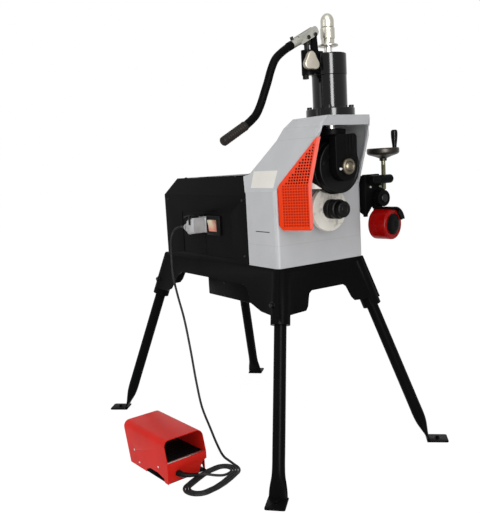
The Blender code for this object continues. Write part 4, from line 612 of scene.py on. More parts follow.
def panScrewShape(centre, axis, radius):
    # a low domed head with a shallow cross
    height = radius * 0.55
    corners = [(0, -0.0004, 0), (radius, -0.0004, 0), (radius, height * 0.4, radius * 0.2)]
    corners += [(radius * 0.6, height, radius * 0.3), (radius * 0.22, height, 0), (0, height * 0.5, 0)]
    return turnedShape(corners, centre, axis, 24)


def merged(shapes):
    bm = shapes[0]
    for shape in shapes[1:]:
        mesh = bpy.data.meshes.new("part")
        shape.to_mesh(mesh)
        bm.from_mesh(mesh)
        bpy.data.meshes.remove(mesh)
        shape.free()
    return bm


def barCurve(name, points, radius, rounding, tip=None):
    # a curve with a round section along points; tip gives its radius at the far end
    data = bpy.data.curves.new(name, "CURVE")
    data.dimensions = "3D"
    data.bevel_depth = radius
    data.bevel_resolution = rounding
    data.use_fill_caps = True
    spline = data.splines.new("POLY")
    spline.points.add(len(points) - 1)
    for i, (spot, point) in enumerate(zip(spline.points, points)):
        spot.co = (*point, 1)
        spot.radius = 1 if tip is None else 1 + (tip / radius - 1) * i / (len(points) - 1)
    return bpy.data.objects.new(name, data)


def pipeShape(points, radius, sides=24, tip=None):
    holder = barCurve("pipe", points, radius, max(1, sides // 4 - 1), tip)
    mesh = bpy.data.meshes.new_from_object(holder)
    bm = bmesh.new()
    bm.from_mesh(mesh)
    bpy.data.objects.remove(holder)
    bpy.data.meshes.remove(mesh)
    bmesh.ops.remove_doubles(bm, verts=bm.verts, dist=1e-6)
    bmesh.ops.recalc_face_normals(bm, faces=bm.faces)
    return bm


def nodeShape(name):
    # a merged copy of a frame node
    bm = bmesh.new()
    bm.from_mesh(nodes[name].data)
    bmesh.ops.remove_doubles(bm, verts=bm.verts, dist=2e-6)
    bmesh.ops.dissolve_limit(bm, angle_limit=math.radians(0.4), verts=bm.verts, edges=bm.edges)
    return bm


def cut(bm, cutter, operation="DIFFERENCE"):
    # a Boolean of two shapes
    objects = []
    for shape in (bm, cutter):
        mesh = bpy.data.meshes.new("part")
        shape.to_mesh(mesh)
        shape.free()
        made = bpy.data.objects.new("part", mesh)
        bpy.context.scene.collection.objects.link(made)
        objects.append(made)
    change = objects[0].modifiers.new("cut", "BOOLEAN")
    change.operation = operation
    change.solver = "EXACT"
    change.object = objects[1]
    graph = bpy.context.evaluated_depsgraph_get()
    mesh = bpy.data.meshes.new_from_object(objects[0].evaluated_get(graph))
    result = bmesh.new()
    result.from_mesh(mesh)
    for made in objects:
        bpy.data.objects.remove(made)
    return result


def piece(name, bm, body, slot, replaced=(), finish=None, smooth=35, bevel=0.0, segments=2):
    # makes a finished piece, gives it its finish and ties it to its body
    mesh = bpy.data.meshes.new(name)
    bm.to_mesh(mesh)
    bm.free()
    mesh.materials.append(finishes[finish or slot].material)
    mesh.shade_smooth()
    mesh.set_sharp_from_angle(angle=math.radians(smooth))
    made = bpy.data.objects.new(name, mesh)
    bpy.context.scene.collection.objects.link(made)
    if bevel:
        change = made.modifiers.new("edges", "BEVEL")
        change.width = bevel
        change.segments = segments
        change.limit_method = "ANGLE"
        change.angle_limit = math.radians(smooth)
        change.harden_normals = True
        change.miter_outer = "MITER_ARC"
    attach(made, body)
    if replaced:
        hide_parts(*([replaced] if isinstance(replaced, str) else replaced))
    return made


def refined(name, node, body, slot, bevel, segments=2, finish=None):
    # the frame's own solid with its edges rounded
    return piece(name, nodeShape(node), body, slot, node, finish, bevel=bevel, segments=segments)


def coat(finish, *names):
    # gives frame nodes their finish and leaves their shapes
    for name in names:
        for place in nodes[name].material_slots:
            place.material = finishes[finish].material


print("ways of shaping ready")


# Camera and cord


def makeCord():
    look = cordLook
    points = cordRoute()
    cord = barCurve("controlCord", points, look["diameter"] / 2, 5)
    cord.data.materials.append(finishes["cordSheath"].material)
    bpy.context.scene.collection.objects.link(cord)
    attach(cord, "stand")
    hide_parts("cord_run", "cord_loops")
    length = sum((b - a).length for a, b in zip(points, points[1:]))
    print(f"cord {length:.3f} m")


makeCamera()
makeCord()
print("camera set and cord laid")


# Stand

legLook = {
    "slope": (0.2748, 0.2553),
    "foot": (0.3216, 0.5032),
    "stations": [  # height, half width, half thickness
        (0.606, 0.019, 0.019), (0.35, 0.019, 0.019), (0.12, 0.019, 0.019), (0.085, 0.019, 0.019),
        (0.06, 0.0205, 0.0165), (0.04, 0.0245, 0.0115), (0.022, 0.027, 0.0065),
        (0.0025, 0.028, 0.0034),
    ],
    "sides": 40,
    "padHalf": 0.03,
    "padHeel": 0.008,
    "padLength": 0.07,
    "padCorner": 0.007,
    "padThick": 0.005,
    "boltReach": 0.036,
    "boltSize": 0.01,
}


def legAxis(z, side, end):
    slope = legLook["slope"]
    foot = legLook["foot"]
    return at(side * (foot[0] - slope[0] * z), end * (foot[1] - slope[1] * z), z)


def legShape(side, end):
    # a tube whose end is flattened and bent out to a pad
    look = legLook
    out = Vector((side * look["slope"][0], end * look["slope"][1], 0)).normalized()
    across = Vector((-out.y, out.x, 0))
    down = (legAxis(0, side, end) - legAxis(1, side, end)).normalized()
    thick = down.cross(across).normalized()
    bm = bmesh.new()
    rings = []
    for z, halfWidth, halfThick in smoothed(look["stations"], 3):
        turn = Matrix((across * halfWidth, thick * halfThick, down)).transposed().to_4x4()
        spot = Matrix.Translation(legAxis(z, side, end)) @ turn
        ring = bmesh.ops.create_circle(bm, radius=1, segments=look["sides"], matrix=spot)["verts"]
        rings.append(list({edge for vert in ring for edge in vert.link_edges}))
    for low, high in zip(rings, rings[1:]):
        bmesh.ops.bridge_loops(bm, edges=low + high)
    bmesh.ops.holes_fill(bm, edges=[e for e in bm.edges if e.is_boundary])
    everything = bm.verts[:] + bm.edges[:] + bm.faces[:]
    bmesh.ops.bisect_plane(bm, geom=everything, plane_co=(0, 0, 0), plane_no=(0, 0, -1), clear_outer=True)
    bmesh.ops.holes_fill(bm, edges=[e for e in bm.edges if e.is_boundary])
    bmesh.ops.recalc_face_normals(bm, faces=bm.faces)
    heel = legAxis(0, side, end) - out * look["padHeel"]
    half, length, corner = look["padHalf"], look["padLength"], look["padCorner"]
    sole = [(0, -half, 0.001), (length, -half, corner), (length, half, corner), (0, half, 0.001)]
    points = [heel + out * a + across * b for a, b in eased(sole, 6, True)]
    pad = extrudedShape(points, upward * look["padThick"], 0.001)
    bolt = boltShape(heel + out * look["boltReach"] + upward * look["padThick"], upward, look["boltSize"])
    return merged([bm, pad, bolt])


for end, endName in ((-1, "front"), (1, "rear")):
    for side, sideName in ((-1, "left"), (1, "right")):
        legName = f"leg_{endName}_{sideName}"
        piece(f"tube_{endName}_{sideName}", legShape(side, end), "stand", "black_enamel", legName)

refined("deckFrame", "base_frame", "stand", "black_enamel", 0.0014, 2)
refined("controlCase", "control_box", "stand", "black_enamel", 0.001, 2)

frameBolts = {
    "clampHeight": 0.53,
    "clampOut": 0.0303,
    "clampSize": 0.013,
    "caseX": 0.12,
    "casePlaces": ((0.029, 0.541), (-0.088, 0.551), (0.118, 0.6), (-0.128, 0.6)),
    "caseSize": 0.0042,
}


def frameBoltShapes():
    # clamp bolts on the leg sockets and screws on the control case
    look = frameBolts
    parts = []
    for side in (-1, 1):
        out = Vector((side, 0, 0))
        for end in (-1, 1):
            axis = legAxis(look["clampHeight"], side, end)
            parts.append(boltShape(axis + out * look["clampOut"], out, look["clampSize"]))
        for y, z in look["casePlaces"]:
            parts.append(panScrewShape(at(side * look["caseX"], y, z), out, look["caseSize"]))
    return merged(parts)


piece("frameBolts", frameBoltShapes(), "stand", "dark_steel", finish="blackBolt")
print("stand done")


# Body shells

headLook = {
    "half": 0.098,
    "cutHalf": 0.1008,
    "top": 1.08,
    "across": 0.016,
    "down": 0.026,
    "wall": 0.006,
    "spare": 0.012,
    "lap": 0.004,
    "proud": 0.08,
    "front": -0.6,
    "above": 0.93,
    "skin": (0.997, 0.996, 0.994),
}
# painted shade: a thin dark strip on the housing's side where a shallow slot's shadow falls
slotShadeStrip = {"low": (-0.1762, -0.33, 0.7436), "high": (-0.1745, -0.259, 0.7462)}


def hullShape(name, low):
    # the skin round a node's points above a height, a little inside them
    bm = nodeShape(name)
    bmesh.ops.delete(bm, geom=[vert for vert in bm.verts if vert.co.z < low], context="VERTS")
    found = bmesh.ops.convex_hull(bm, input=bm.verts[:])
    left = [item for item in found["geom_interior"] if isinstance(item, bmesh.types.BMVert)]
    bmesh.ops.delete(bm, geom=left, context="VERTS")
    faces = [item for item in found["geom"] if isinstance(item, bmesh.types.BMFace) and item.is_valid]
    bmesh.ops.delete(bm, geom=[face for face in bm.faces if face not in faces], context="FACES")
    bmesh.ops.recalc_face_normals(bm, faces=bm.faces)
    middle = sum((vert.co for vert in bm.verts), Vector()) / len(bm.verts)
    bmesh.ops.translate(bm, verts=bm.verts, vec=-middle)
    bmesh.ops.scale(bm, verts=bm.verts, vec=headLook["skin"])
    bmesh.ops.translate(bm, verts=bm.verts, vec=middle)
    return bm


def headLines():
    # one top corner's line, from the top to the side, in x and z
    look = headLook
    high = Vector((look["half"] - look["across"], look["top"]))
    low = Vector((look["cutHalf"], look["top"] - look["down"]))
    return high, low, (low - high).normalized()


def cornerPrism(outline, side):
    # an outline of (x, z) across the whole depth of the head, on one side
    return prismShape([(side * x, z) for x, z in outline], "Y", headLook["front"], 0)


def housingShape():
    # the frame's housing without its square top corners
    body = nodeShape("front_housing")
    high, low, down = headLines()
    spare = headLook["spare"]
    wide = headLook["half"] + 0.03
    wedge = [high - down * spare, (wide, high.y + spare), (wide, low.y - spare), low + down * spare]
    for side in (-1, 1):
        body = cut(body, cornerPrism(wedge, side))
    return body


def headCornerShape():
    # the sheet bent over each top corner, a little proud of the cut
    high, low, down = headLines()
    inside = Vector((down.y, -down.x)) * headLook["wall"]
    lap = down * headLook["lap"]
    first, last = (point - inside * headLook["proud"] for point in (high - lap, low + lap))
    strip = [first, last, last + inside, first + inside]
    plates = merged([cornerPrism(strip, side) for side in (-1, 1)])
    return cut(plates, hullShape("front_housing", headLook["above"]), "INTERSECT")


# painted shade: the dark strip stands in for the slot's shadow
slot = blockShape(at(*slotShadeStrip["low"]), at(*slotShadeStrip["high"]), 0.0001)
piece("slotShadeStrip", slot, "stand", "black_enamel", finish="gripRubber")
piece("headCorners", headCornerShape(), "stand", "grey_enamel", smooth=8)
piece("frontHousing", housingShape(), "stand", "grey_enamel", "front_housing", bevel=0.0012, segments=3)

coverLook = {"side": -0.1745, "slotY": (0.036, 0.051), "slotZ": (0.648, 0.721), "slotDepth": 0.0015}


def coverShape():
    # the frame's cover with its short upright slot
    look = coverLook
    low = at(look["side"] - 0.01, look["slotY"][0], look["slotZ"][0])
    high = at(look["side"] + look["slotDepth"], look["slotY"][1], look["slotZ"][1])
    return cut(nodeShape("motor_cover"), blockShape(low, high, 0.001))


piece("motorCover", coverShape(), "stand", "black_enamel", "motor_cover", bevel=0.0006, segments=2, smooth=8)

coverScrews = {
    "topX": 0.1475,
    "topY": (0.205, 0.1, -0.01, -0.12),
    "topZ": 0.915,
    "topSize": 0.0055,
    "sideX": 0.176,
    "side": ((0.3, 0.66), (-0.19, 0.66), (-0.19, 0.84), (0.3, 0.84)),
    "rearY": 0.338,
    "rear": ((-0.13, 0.655), (-0.13, 0.845), (0.13, 0.655), (0.13, 0.845)),
    "size": 0.0045,
}
flapLook = {
    "half": 0.146,
    "outline": [
        (-0.1735, 0.9157), (-0.204, 0.9225), (-0.205, 0.9255), (-0.17, 0.919), (0.12, 0.917),
        (0.12, 0.9157),
    ],
}


def coverScrewShapes():
    look = coverScrews
    parts = []
    for side in (-1, 1):
        for y in look["topY"]:
            parts.append(panScrewShape(at(side * look["topX"], y, look["topZ"]), upward, look["topSize"]))
        for y, z in look["side"]:
            parts.append(panScrewShape(at(side * look["sideX"], y, z), (side, 0, 0), look["size"]))
    for x, z in look["rear"]:
        parts.append(panScrewShape(at(x, look["rearY"], z), backward, look["size"]))
    return merged(parts)


# the cover's upper sheet laps over the housing's rear step
coverFlap = prismShape(flapLook["outline"], "X", -flapLook["half"], flapLook["half"], 0.0006)
piece("coverFlap", coverFlap, "stand", "black_enamel")
piece("coverScrews", coverScrewShapes(), "stand", "black_enamel", finish="blackBolt")

plateLook = {
    "corners": [(-0.237, 0.879), (-0.353, 0.879), (-0.347, 0.93), (-0.225, 0.93)],
    "cheekLow": (-0.176, 0.868),
    "cheekHigh": (-0.106, 1.02),
    "thick": 0.0006,
    "sunk": 0.0004,
}


def labelPlateShape():
    # a bare label plate on the sloping cheek of the housing
    look = plateLook
    (lowX, lowZ), (highX, highZ) = look["cheekLow"], look["cheekHigh"]
    lean = (highX - lowX) / (highZ - lowZ)
    points = [at(lowX + lean * (z - lowZ), y, z) for y, z in look["corners"]]
    normal = (points[3] - points[0]).cross(points[1] - points[0]).normalized()
    if normal.x > 0:
        normal = -normal
    points = [point - normal * look["sunk"] for point in points]
    return extrudedShape(points, normal * (look["thick"] + look["sunk"]), 0.0002, 1)


piece("labelPlate", labelPlateShape(), "stand", "off_white_enamel", finish="labelCard")
print("shells done")


# Head, drive and other inner work

refined("headFrame", "head_frame", "stand", "black_casting", 0.0015)
coat("black_casting", "gearbox", "motor")
coat("bright_steel", "front_bearing", "rear_bearing")
coat("blackBolt", "pump_plunger")
coat("dark_steel", "bull_gear", "pinion_shaft")

spindleCorners = [
    (0, -0.464, 0), (0.016, -0.464, 0.001), (0.016, -0.3947, 0), (0.028, -0.3947, 0.001),
    (0.028, -0.361, 0.001), (0.02, -0.361, 0), (0.02, -0.206, 0.001), (0, -0.206, 0),
]
discCorners = [
    (0.0163, -0.411, 0), (0.037, -0.411, 0.001), (0.0385, -0.4095, 0.001), (0.04, -0.411, 0.001),
    (0.069, -0.411, 0.003), (0.069, -0.395, 0.0015), (0.0163, -0.395, 0),
]
driveRollCorners = [
    (0, -0.476, 0), (0.009, -0.476, 0.0008), (0.01, -0.4745, 0.0005), (0.012, -0.4745, 0.0005),
    (0.013, -0.476, 0.0008), (0.025, -0.476, 0.006), (0.025, -0.4585, 0.001),
    (0.0262, -0.4555, 0.0008), (0.03, -0.454, 0.0015), (0.03, -0.44, 0.0008),
    (0.027, -0.4392, 0.0008), (0.027, -0.4288, 0.0008), (0.03, -0.428, 0.0008),
    (0.03, -0.4113, 0.0008), (0.0163, -0.4113, 0), (0.0163, -0.4637, 0), (0, -0.4637, 0),
]
piece("spindleShaft", turnedAlongY(spindleCorners, 0, spindleZ), "drive_spindle", "bright_steel", "spindle")
backingDisc = turnedAlongY(discCorners, 0, spindleZ, True)
piece("backingDisc", backingDisc, "drive_spindle", "off_white_enamel", "backing_disc")
piece("driveRoll", turnedAlongY(driveRollCorners, 0, spindleZ), "drive_spindle", "dark_steel", "drive_roll")

upperRollCorners = [
    (0.0128, -0.4625, 0), (0.03, -0.4625, 0.001), (0.032, -0.4605, 0.001), (0.07, -0.4605, 0.001),
    (0.072, -0.4625, 0.001), (0.0795, -0.4625, 0.003), (0.0795, -0.4395, 0.0008),
    (0.082, -0.4375, 0.0012), (0.082, -0.4305, 0.0012), (0.0795, -0.4285, 0.0008),
    (0.0795, -0.412, 0.002), (0.0128, -0.412, 0),
]
upperRoll = turnedAlongY(upperRollCorners, 0, rollZ, True, 128)
piece("upperRoll", upperRoll, "grooving_roll", "dark_steel", "upper_roll")


# Slide

slideLook = {
    "half": 0.043,
    "front": -0.493,
    "rear": -0.38,
    "top": 1.027,
    "corner": 0.012,
    "slotFrom": (-0.1, -0.464, 0.8),
    "slotTo": (0.1, -0.4105, 1.017),
    "bore": 0.0128,
    "boss": (1.023, 1.043),
    "tongueFrom": (-0.025, -0.39, 0.905),
    "tongueTo": (0.025, -0.335, 1.02),
    "ribs": (-0.002, 0.0115, 0.025),
    "ribWidth": 0.0055,
    "ribY": (-0.4946, -0.491),
    "ribZ": (0.962, 1.023),
    "collar": [
        (0.024, -0.4925, 0), (0.0285, -0.4925, 0), (0.0285, -0.4948, 0.001),
        (0.025, -0.4948, 0.001),
    ],
    "nipple": (-0.0276, 0.925),
}


def slideShape():
    # a round-bottomed block with a slot for the roll, a boss above and three ribs in front
    look = slideLook
    half, corner = look["half"], look["corner"]
    right = arc((half - corner, look["top"] - corner), corner, 0, 90, 10)
    outline = arc((0, rollZ), half, 180, 360, 48) + right + [(-x, z) for x, z in reversed(right)]
    body = prismShape(outline, "Y", look["front"], look["rear"], 0.0025, 3)
    body = cut(body, blockShape(at(*look["slotFrom"]), at(*look["slotTo"]), 0.002))
    body = cut(body, turnedAlongY(ringCorners(0, look["bore"], -0.5, -0.378), 0, rollZ))
    boss = ringCorners(look["bore"], half, *look["boss"], 0, 0.0025)
    parts = [body, turnedShape(boss, at(0, ramY, 0), upward, 96, True)]
    parts.append(blockShape(at(*look["tongueFrom"]), at(*look["tongueTo"]), 0.0015))
    for x in look["ribs"]:
        low = at(x - look["ribWidth"] / 2, look["ribY"][0], look["ribZ"][0])
        high = at(x + look["ribWidth"] / 2, look["ribY"][1], look["ribZ"][1])
        parts.append(blockShape(low, high, 0.0012, 3))
    parts.append(turnedAlongY(look["collar"], 0, rollZ, True))
    return merged(parts)


piece("slideBlock", slideShape(), "tool_slide", "black_casting", "slide_block")
nippleCorners = [  # a grease nipple with a dab of grease on it
    (0, 0.491, 0), (0.004, 0.491, 0), (0.004, 0.4955, 0.001), (0.0028, 0.4965, 0.0006),
    (0.0026, 0.499, 0.001), (0, 0.4995, 0),
]
nippleX, nippleZ = slideLook["nipple"]
nipple = turnedShape(nippleCorners, at(nippleX, 0, nippleZ), frontward, 32)
piece("greaseNipple", nipple, "tool_slide", "polished_nickel", finish="greaseWhite")

shaftCorners = [
    (0, 0.5075, 0), (0.006, 0.507, 0.003), (0.0125, 0.5035, 0.002), (0.0138, 0.5015, 0.0008),
    (0.015, 0.5015, 0.0008), (0.0162, 0.5045, 0.001), (0.0205, 0.5045, 0.001),
    (0.024, 0.5005, 0.002), (0.024, 0.4933, 0.0005), (0.0125, 0.4933, 0), (0.0125, 0.3815, 0.001),
    (0, 0.3815, 0),
]
rollShaft = turnedShape(shaftCorners, at(0, 0, rollZ), frontward)
piece("rollShaft", rollShaft, "tool_slide", "bright_steel", "roll_shaft", finish="bronzeSteel")
print("tools and slide done")


# Hand ram


def onRam(z=0.0):
    return at(0, ramY, z)


cylinderCorners = [
    (0.0128, 1.0803, 0), (0.0725, 1.0803, 0.001), (0.0725, 1.103, 0.002), (0.0535, 1.103, 0.001),
    (0.0515, 1.106, 0.001), (0.0515, 1.1997, 0.001), (0.04, 1.1997, 0), (0.04, 1.095, 0),
    (0.0128, 1.095, 0),
]
reservoirCorners = [
    (0.0123, 1.2, 0), (0.0525, 1.2, 0.0012), (0.0525, 1.262, 0.004), (0.044, 1.262, 0.0008),
    (0.043, 1.261, 0.0008), (0.02, 1.261, 0.0008), (0.019, 1.262, 0.0006), (0.0123, 1.262, 0.0004),
    (0.0123, 1.254, 0), (0.047, 1.254, 0), (0.047, 1.208, 0), (0.0123, 1.208, 0),
]
rodCorners = [
    (0, 1.0235, 0), (0.0125, 1.0235, 0), (0.0125, 1.15, 0), (0.0397, 1.15, 0.001),
    (0.0397, 1.175, 0.001), (0.012, 1.175, 0), (0.012, 1.33, 0.001), (0, 1.33, 0),
]
nutCorners = [
    (0.0123, 1.284, 0.0004), (0.028, 1.284, 0.001), (0.03, 1.285, 0.001), (0.03, 1.2885, 0.001),
    (0.027, 1.29, 0.001), (0.0205, 1.2905, 0.001), (0.019, 1.295, 0.001), (0.019, 1.304, 0.001),
    (0.021, 1.307, 0.001), (0.021, 1.3365, 0.0012), (0.0195, 1.338, 0.0008), (0.0123, 1.338, 0),
]
capLook = {"radius": 0.0195, "shoulder": 1.3555, "rise": 0.0235, "steps": 12}
capCorners = [(0, 1.3305, 0), (0.0117, 1.3305, 0), (0.0117, 1.3383, 0), (0.018, 1.3383, 0.0006)]
capCorners.append((capLook["radius"], 1.34, 0.0008))
for i in range(capLook["steps"]):  # the dome, a quarter of an ellipse
    angle = math.pi / 2 * i / capLook["steps"]
    high = capLook["shoulder"] + capLook["rise"] * math.sin(angle)
    capCorners.append((capLook["radius"] * math.cos(angle), high, 0))
capCorners.append((0, capLook["shoulder"] + capLook["rise"], 0))

cylinder = turnedShape(cylinderCorners, onRam(), upward, 128, True)
piece("ramCylinder", cylinder, "stand", "black_enamel", "ram_cylinder", "ramGloss")
reservoir = turnedShape(reservoirCorners, onRam(), upward, 128, True)
piece("ramReservoir", reservoir, "stand", "black_enamel", "ram_reservoir", "ramGloss")
piece("ramRod", turnedShape(rodCorners, onRam(), upward), "tool_slide", "bright_steel", "ram_rod")

springLook = {
    "wire": 0.0024,
    "radius": 0.0282,
    "turns": 6,
    "stepsPerTurn": 28,
    "low": 1.0953,
    "high": 1.1494,
    "keep": 0.76,
}


def springShape():
    # the coil that lifts the piston
    look = springLook
    low, high = look["low"] + look["wire"], look["high"] - look["wire"]
    count = look["turns"] * look["stepsPerTurn"]
    points = []
    for i in range(count + 1):
        angle = math.tau * look["turns"] * i / count
        side = Vector((math.cos(angle), math.sin(angle), 0)) * look["radius"]
        points.append(onRam(low + (high - low) * i / count) + side)
    return pipeShape(points, look["wire"], 12)


spring = piece("returnSpring", springShape(), "stand", "dark_steel", "return_spring")
onRam(springLook["low"])
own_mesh(spring)
piece("depthCap", turnedShape(capCorners, onRam(), upward), "depth_stop", "polished_nickel", "depth_cap")

flatLook = {"half": 0.0165, "reach": 0.05, "width": 0.03, "low": 1.2912, "high": 1.305}


def depthNutShape():
    # the nut has two spanner flats above its ring
    look = flatLook
    bm = turnedShape(nutCorners, onRam(), upward, 96, True)
    for near, far in ((-look["reach"], -look["half"]), (look["half"], look["reach"])):
        low = onRam(look["low"]) + Vector((-look["width"], near, 0))
        high = onRam(look["high"]) + Vector((look["width"], far, 0))
        bm = cut(bm, blockShape(low, high))
    return bm


piece("depthNut", depthNutShape(), "depth_stop", "polished_nickel", "depth_nut")

ramScrews = {
    "circle": 0.062,
    "flangeTop": 1.103,
    "headRadius": 0.0075,
    "headHeight": 0.0085,
    "filler": (0.03, 0.016),
    "fillerLow": 1.2608,
    "fillerSize": (0.013, 0.006),
}


def ramScrewShapes():
    # the flange's socket screws and the reservoir's filler plug
    look = ramScrews
    parts = []
    for i in range(4):
        angle = math.radians(45 + 90 * i)
        side = Vector((math.cos(angle), math.sin(angle), 0)) * look["circle"]
        spot = onRam(look["flangeTop"]) + side
        parts.append(socketScrewShape(spot, upward, look["headRadius"], look["headHeight"]))
    filler = onRam(look["fillerLow"]) + Vector((*look["filler"], 0))
    parts.append(hexShape(filler, upward, *look["fillerSize"]))
    return merged(parts)


piece("ramScrews", ramScrewShapes(), "stand", "black_enamel", finish="blackBolt")

leverLook = {
    "fulcrum": (-0.056, 1.314),
    "plunger": (-0.082, 1.305),
    "pin": 0.0045,
    "pinHalf": 0.0118,
    "pinCap": 0.0019,
    "socketRight": (-0.046, 1.329),
    "socketLeft": (-0.138, 1.282),
    "bends": [
        (-0.172, 1.262), (-0.198, 1.241), (-0.2155, 1.211), (-0.2295, 1.177), (-0.243, 1.147),
        (-0.259, 1.113), (-0.276, 1.087), (-0.295, 1.071),
    ],
    "gripStart": (-0.311, 1.06),
    "gripEnd": (-0.393, 1.015),
    "bar": 0.0115,
    "spigot": (0, 0.0088, -0.02, 0.003, 0.001),
    "core": (0, 0.0078, -0.004, 0.07, 0, 0.001),
    "collar": [(0.0085, 0.0004, 0), (0.0124, 0.0004, 0.001), (0.0124, 0.015, 0.001), (0.01, 0.015, 0)],
}
clampScrewLook = {"back": 0.01, "rise": 0.0118, "radius": 0.005, "height": 0.008}


def inRamPlane(pair):
    return at(pair[0], ramY, pair[1])


refined("pumpBody", "pump_block", "stand", "black_casting", 0.0012)
refined("fulcrumLink", "fulcrum_link", "stand", "black_casting", 0.0008)
refined("leverSocket", "lever_socket", "pump_handle", "cast_zinc", 0.0014)


def pinShape(pair):
    # a pin with a low head at each end
    look = leverLook
    half = look["pinHalf"]
    end = half + look["pinCap"]
    near = [(0, end, 0), (0.0058, end, 0.0012), (0.0062, half, 0.0003), (look["pin"], half, 0)]
    corners = [(radius, -along, reach) for radius, along, reach in near] + near[::-1]
    return turnedShape(corners, inRamPlane(pair), backward, 40)


piece("fulcrumPin", pinShape(leverLook["fulcrum"]), "pump_handle", "bright_steel", "fulcrum_pin", "blackBolt")
piece("plungerPin", pinShape(leverLook["plunger"]), "pump_handle", "bright_steel", "plunger_pin", "blackBolt")


def socketEnd():
    # where the bar enters its socket, and the way it goes
    left = inRamPlane(leverLook["socketLeft"])
    return left, (left - inRamPlane(leverLook["socketRight"])).normalized()


def leverShape():
    # the bent bar, the spigot and collar in its socket, and the core of its grip
    look = leverLook
    left, along = socketEnd()
    start = inRamPlane(look["gripStart"])
    route = [left + along * 0.0006, *[inRamPlane(pair) for pair in look["bends"]], start]
    parts = [pipeShape(smoothed(route, 6), look["bar"], 40)]
    parts.append(turnedShape(ringCorners(*look["spigot"]), left, along, 40))
    parts.append(turnedShape(look["collar"], left, along, 48, True))
    core = ringCorners(*look["core"])
    parts.append(turnedShape(core, start, inRamPlane(look["gripEnd"]) - start, 40))
    return merged(parts)


piece("pumpLever", leverShape(), "pump_handle", "black_enamel", "pump_lever")

gripLook = {"radius": 0.0135, "inside": 0.0082, "rings": 9, "firstRing": 0.014, "ringPitch": 0.0076}


def gripShape():
    # a moulded grip with low rings and a rounded end
    look = gripLook
    start = inRamPlane(leverLook["gripStart"])
    reach = inRamPlane(leverLook["gripEnd"]) - start
    length, radius, inside = reach.length, look["radius"], look["inside"]
    corners = [(inside, 0.0015, 0), (0.0125, 0.0015, 0.001), (radius, 0.0045, 0.001), (radius, 0.01, 0.001)]
    for i in range(look["rings"]):
        base = look["firstRing"] + look["ringPitch"] * i
        corners += [(radius - 0.0009, base, 0.0008), (radius - 0.0001, base + 0.0024, 0.0008)]
        corners += [(radius - 0.0001, base + 0.0044, 0.0008)]
    corners += [(radius - 0.0006, length - 0.005, 0.001), (radius - 0.004, length - 0.0008, 0.002)]
    corners += [(0, length, 0), (0, 0.0705, 0), (inside, 0.0705, 0)]
    return turnedShape(corners, start, reach, 48, True)


piece("leverGrip", gripShape(), "pump_handle", "black_rubber", "lever_grip", finish="gripRubber")


def clampScrewShape():
    # the screw that holds the bar, square to its socket
    left, along = socketEnd()
    square = Vector((-along.z, 0, along.x))
    if square.z < 0:
        square = -square
    look = clampScrewLook
    spot = left - along * look["back"] + square * look["rise"]
    return socketScrewShape(spot, square, look["radius"], look["height"])


piece("clampScrew", clampScrewShape(), "pump_handle", "cast_zinc", finish="blackBolt")

knobLook = {
    "centre": (-0.091, 1.234),
    "reach": 0.029,
    "lobe": 0.14,
    "steps": 72,
    "front": -0.4625,
    "rear": -0.4485,
    "stem": (0.004, -0.45, -0.4395),
}


def knobShape():
    # a release knob with three round lobes on a short stem
    look = knobLook
    x, z = look["centre"]
    outline = []
    for i in range(look["steps"]):
        angle = math.tau * i / look["steps"]
        radius = look["reach"] * (1 - look["lobe"] + look["lobe"] * math.cos(3 * (angle - math.pi / 2)))
        outline.append((x + radius * math.cos(angle), z + radius * math.sin(angle)))
    knob = prismShape(outline, "Y", look["front"], look["rear"], 0.0035, 4)
    return merged([knob, turnedAlongY(ringCorners(0, *look["stem"]), x, z, sides=32)])


piece("releaseKnob", knobShape(), "release_valve", "cast_zinc", "release_knob", finish="knobSatin")
print("ram and lever done")


# Throat guard

guardLook = {
    "low": 0.752,
    "fold": 0.885,
    "brow": 1.02,
    "length": 0.104,
    "topLength": 0.134,
    "start": 0.001,
    "snip": 0.012,
    "browWidth": 0.006,
    "hole": 0.005,
    "pitch": 0.0083,
    "firstRow": 0.012,
    "rowSpare": 0.017,
    "firstHole": 0.014,
    "edge": 0.009,
    "browEdge": 0.018,
    "through": -0.004,
    "pocket": 0.0006,
    "cutDepth": 0.012,
    "flange": (0.004, 0.007),
    "flangeLap": (0.006, 0.004),
    "flangeThick": (0.0004, 0.0012),
}


def guardPoint(along, z, out=0.0):
    lean = guardSide["lean"]
    direction = Vector((math.cos(lean), -math.sin(lean), 0))
    outward = Vector((-math.sin(lean), -math.cos(lean), 0))
    return guardSide["spot"] + upward * z + direction * along + outward * out


def guardSheet(outline, depth, thick, bevel=0.0, segments=2):
    # an outline of (along, z) in the guard's plane, raised from a depth
    outward = guardPoint(0, 0, 1) - guardPoint(0, 0)
    return extrudedShape([guardPoint(a, z, depth) for a, z in outline], outward * thick, bevel, segments)


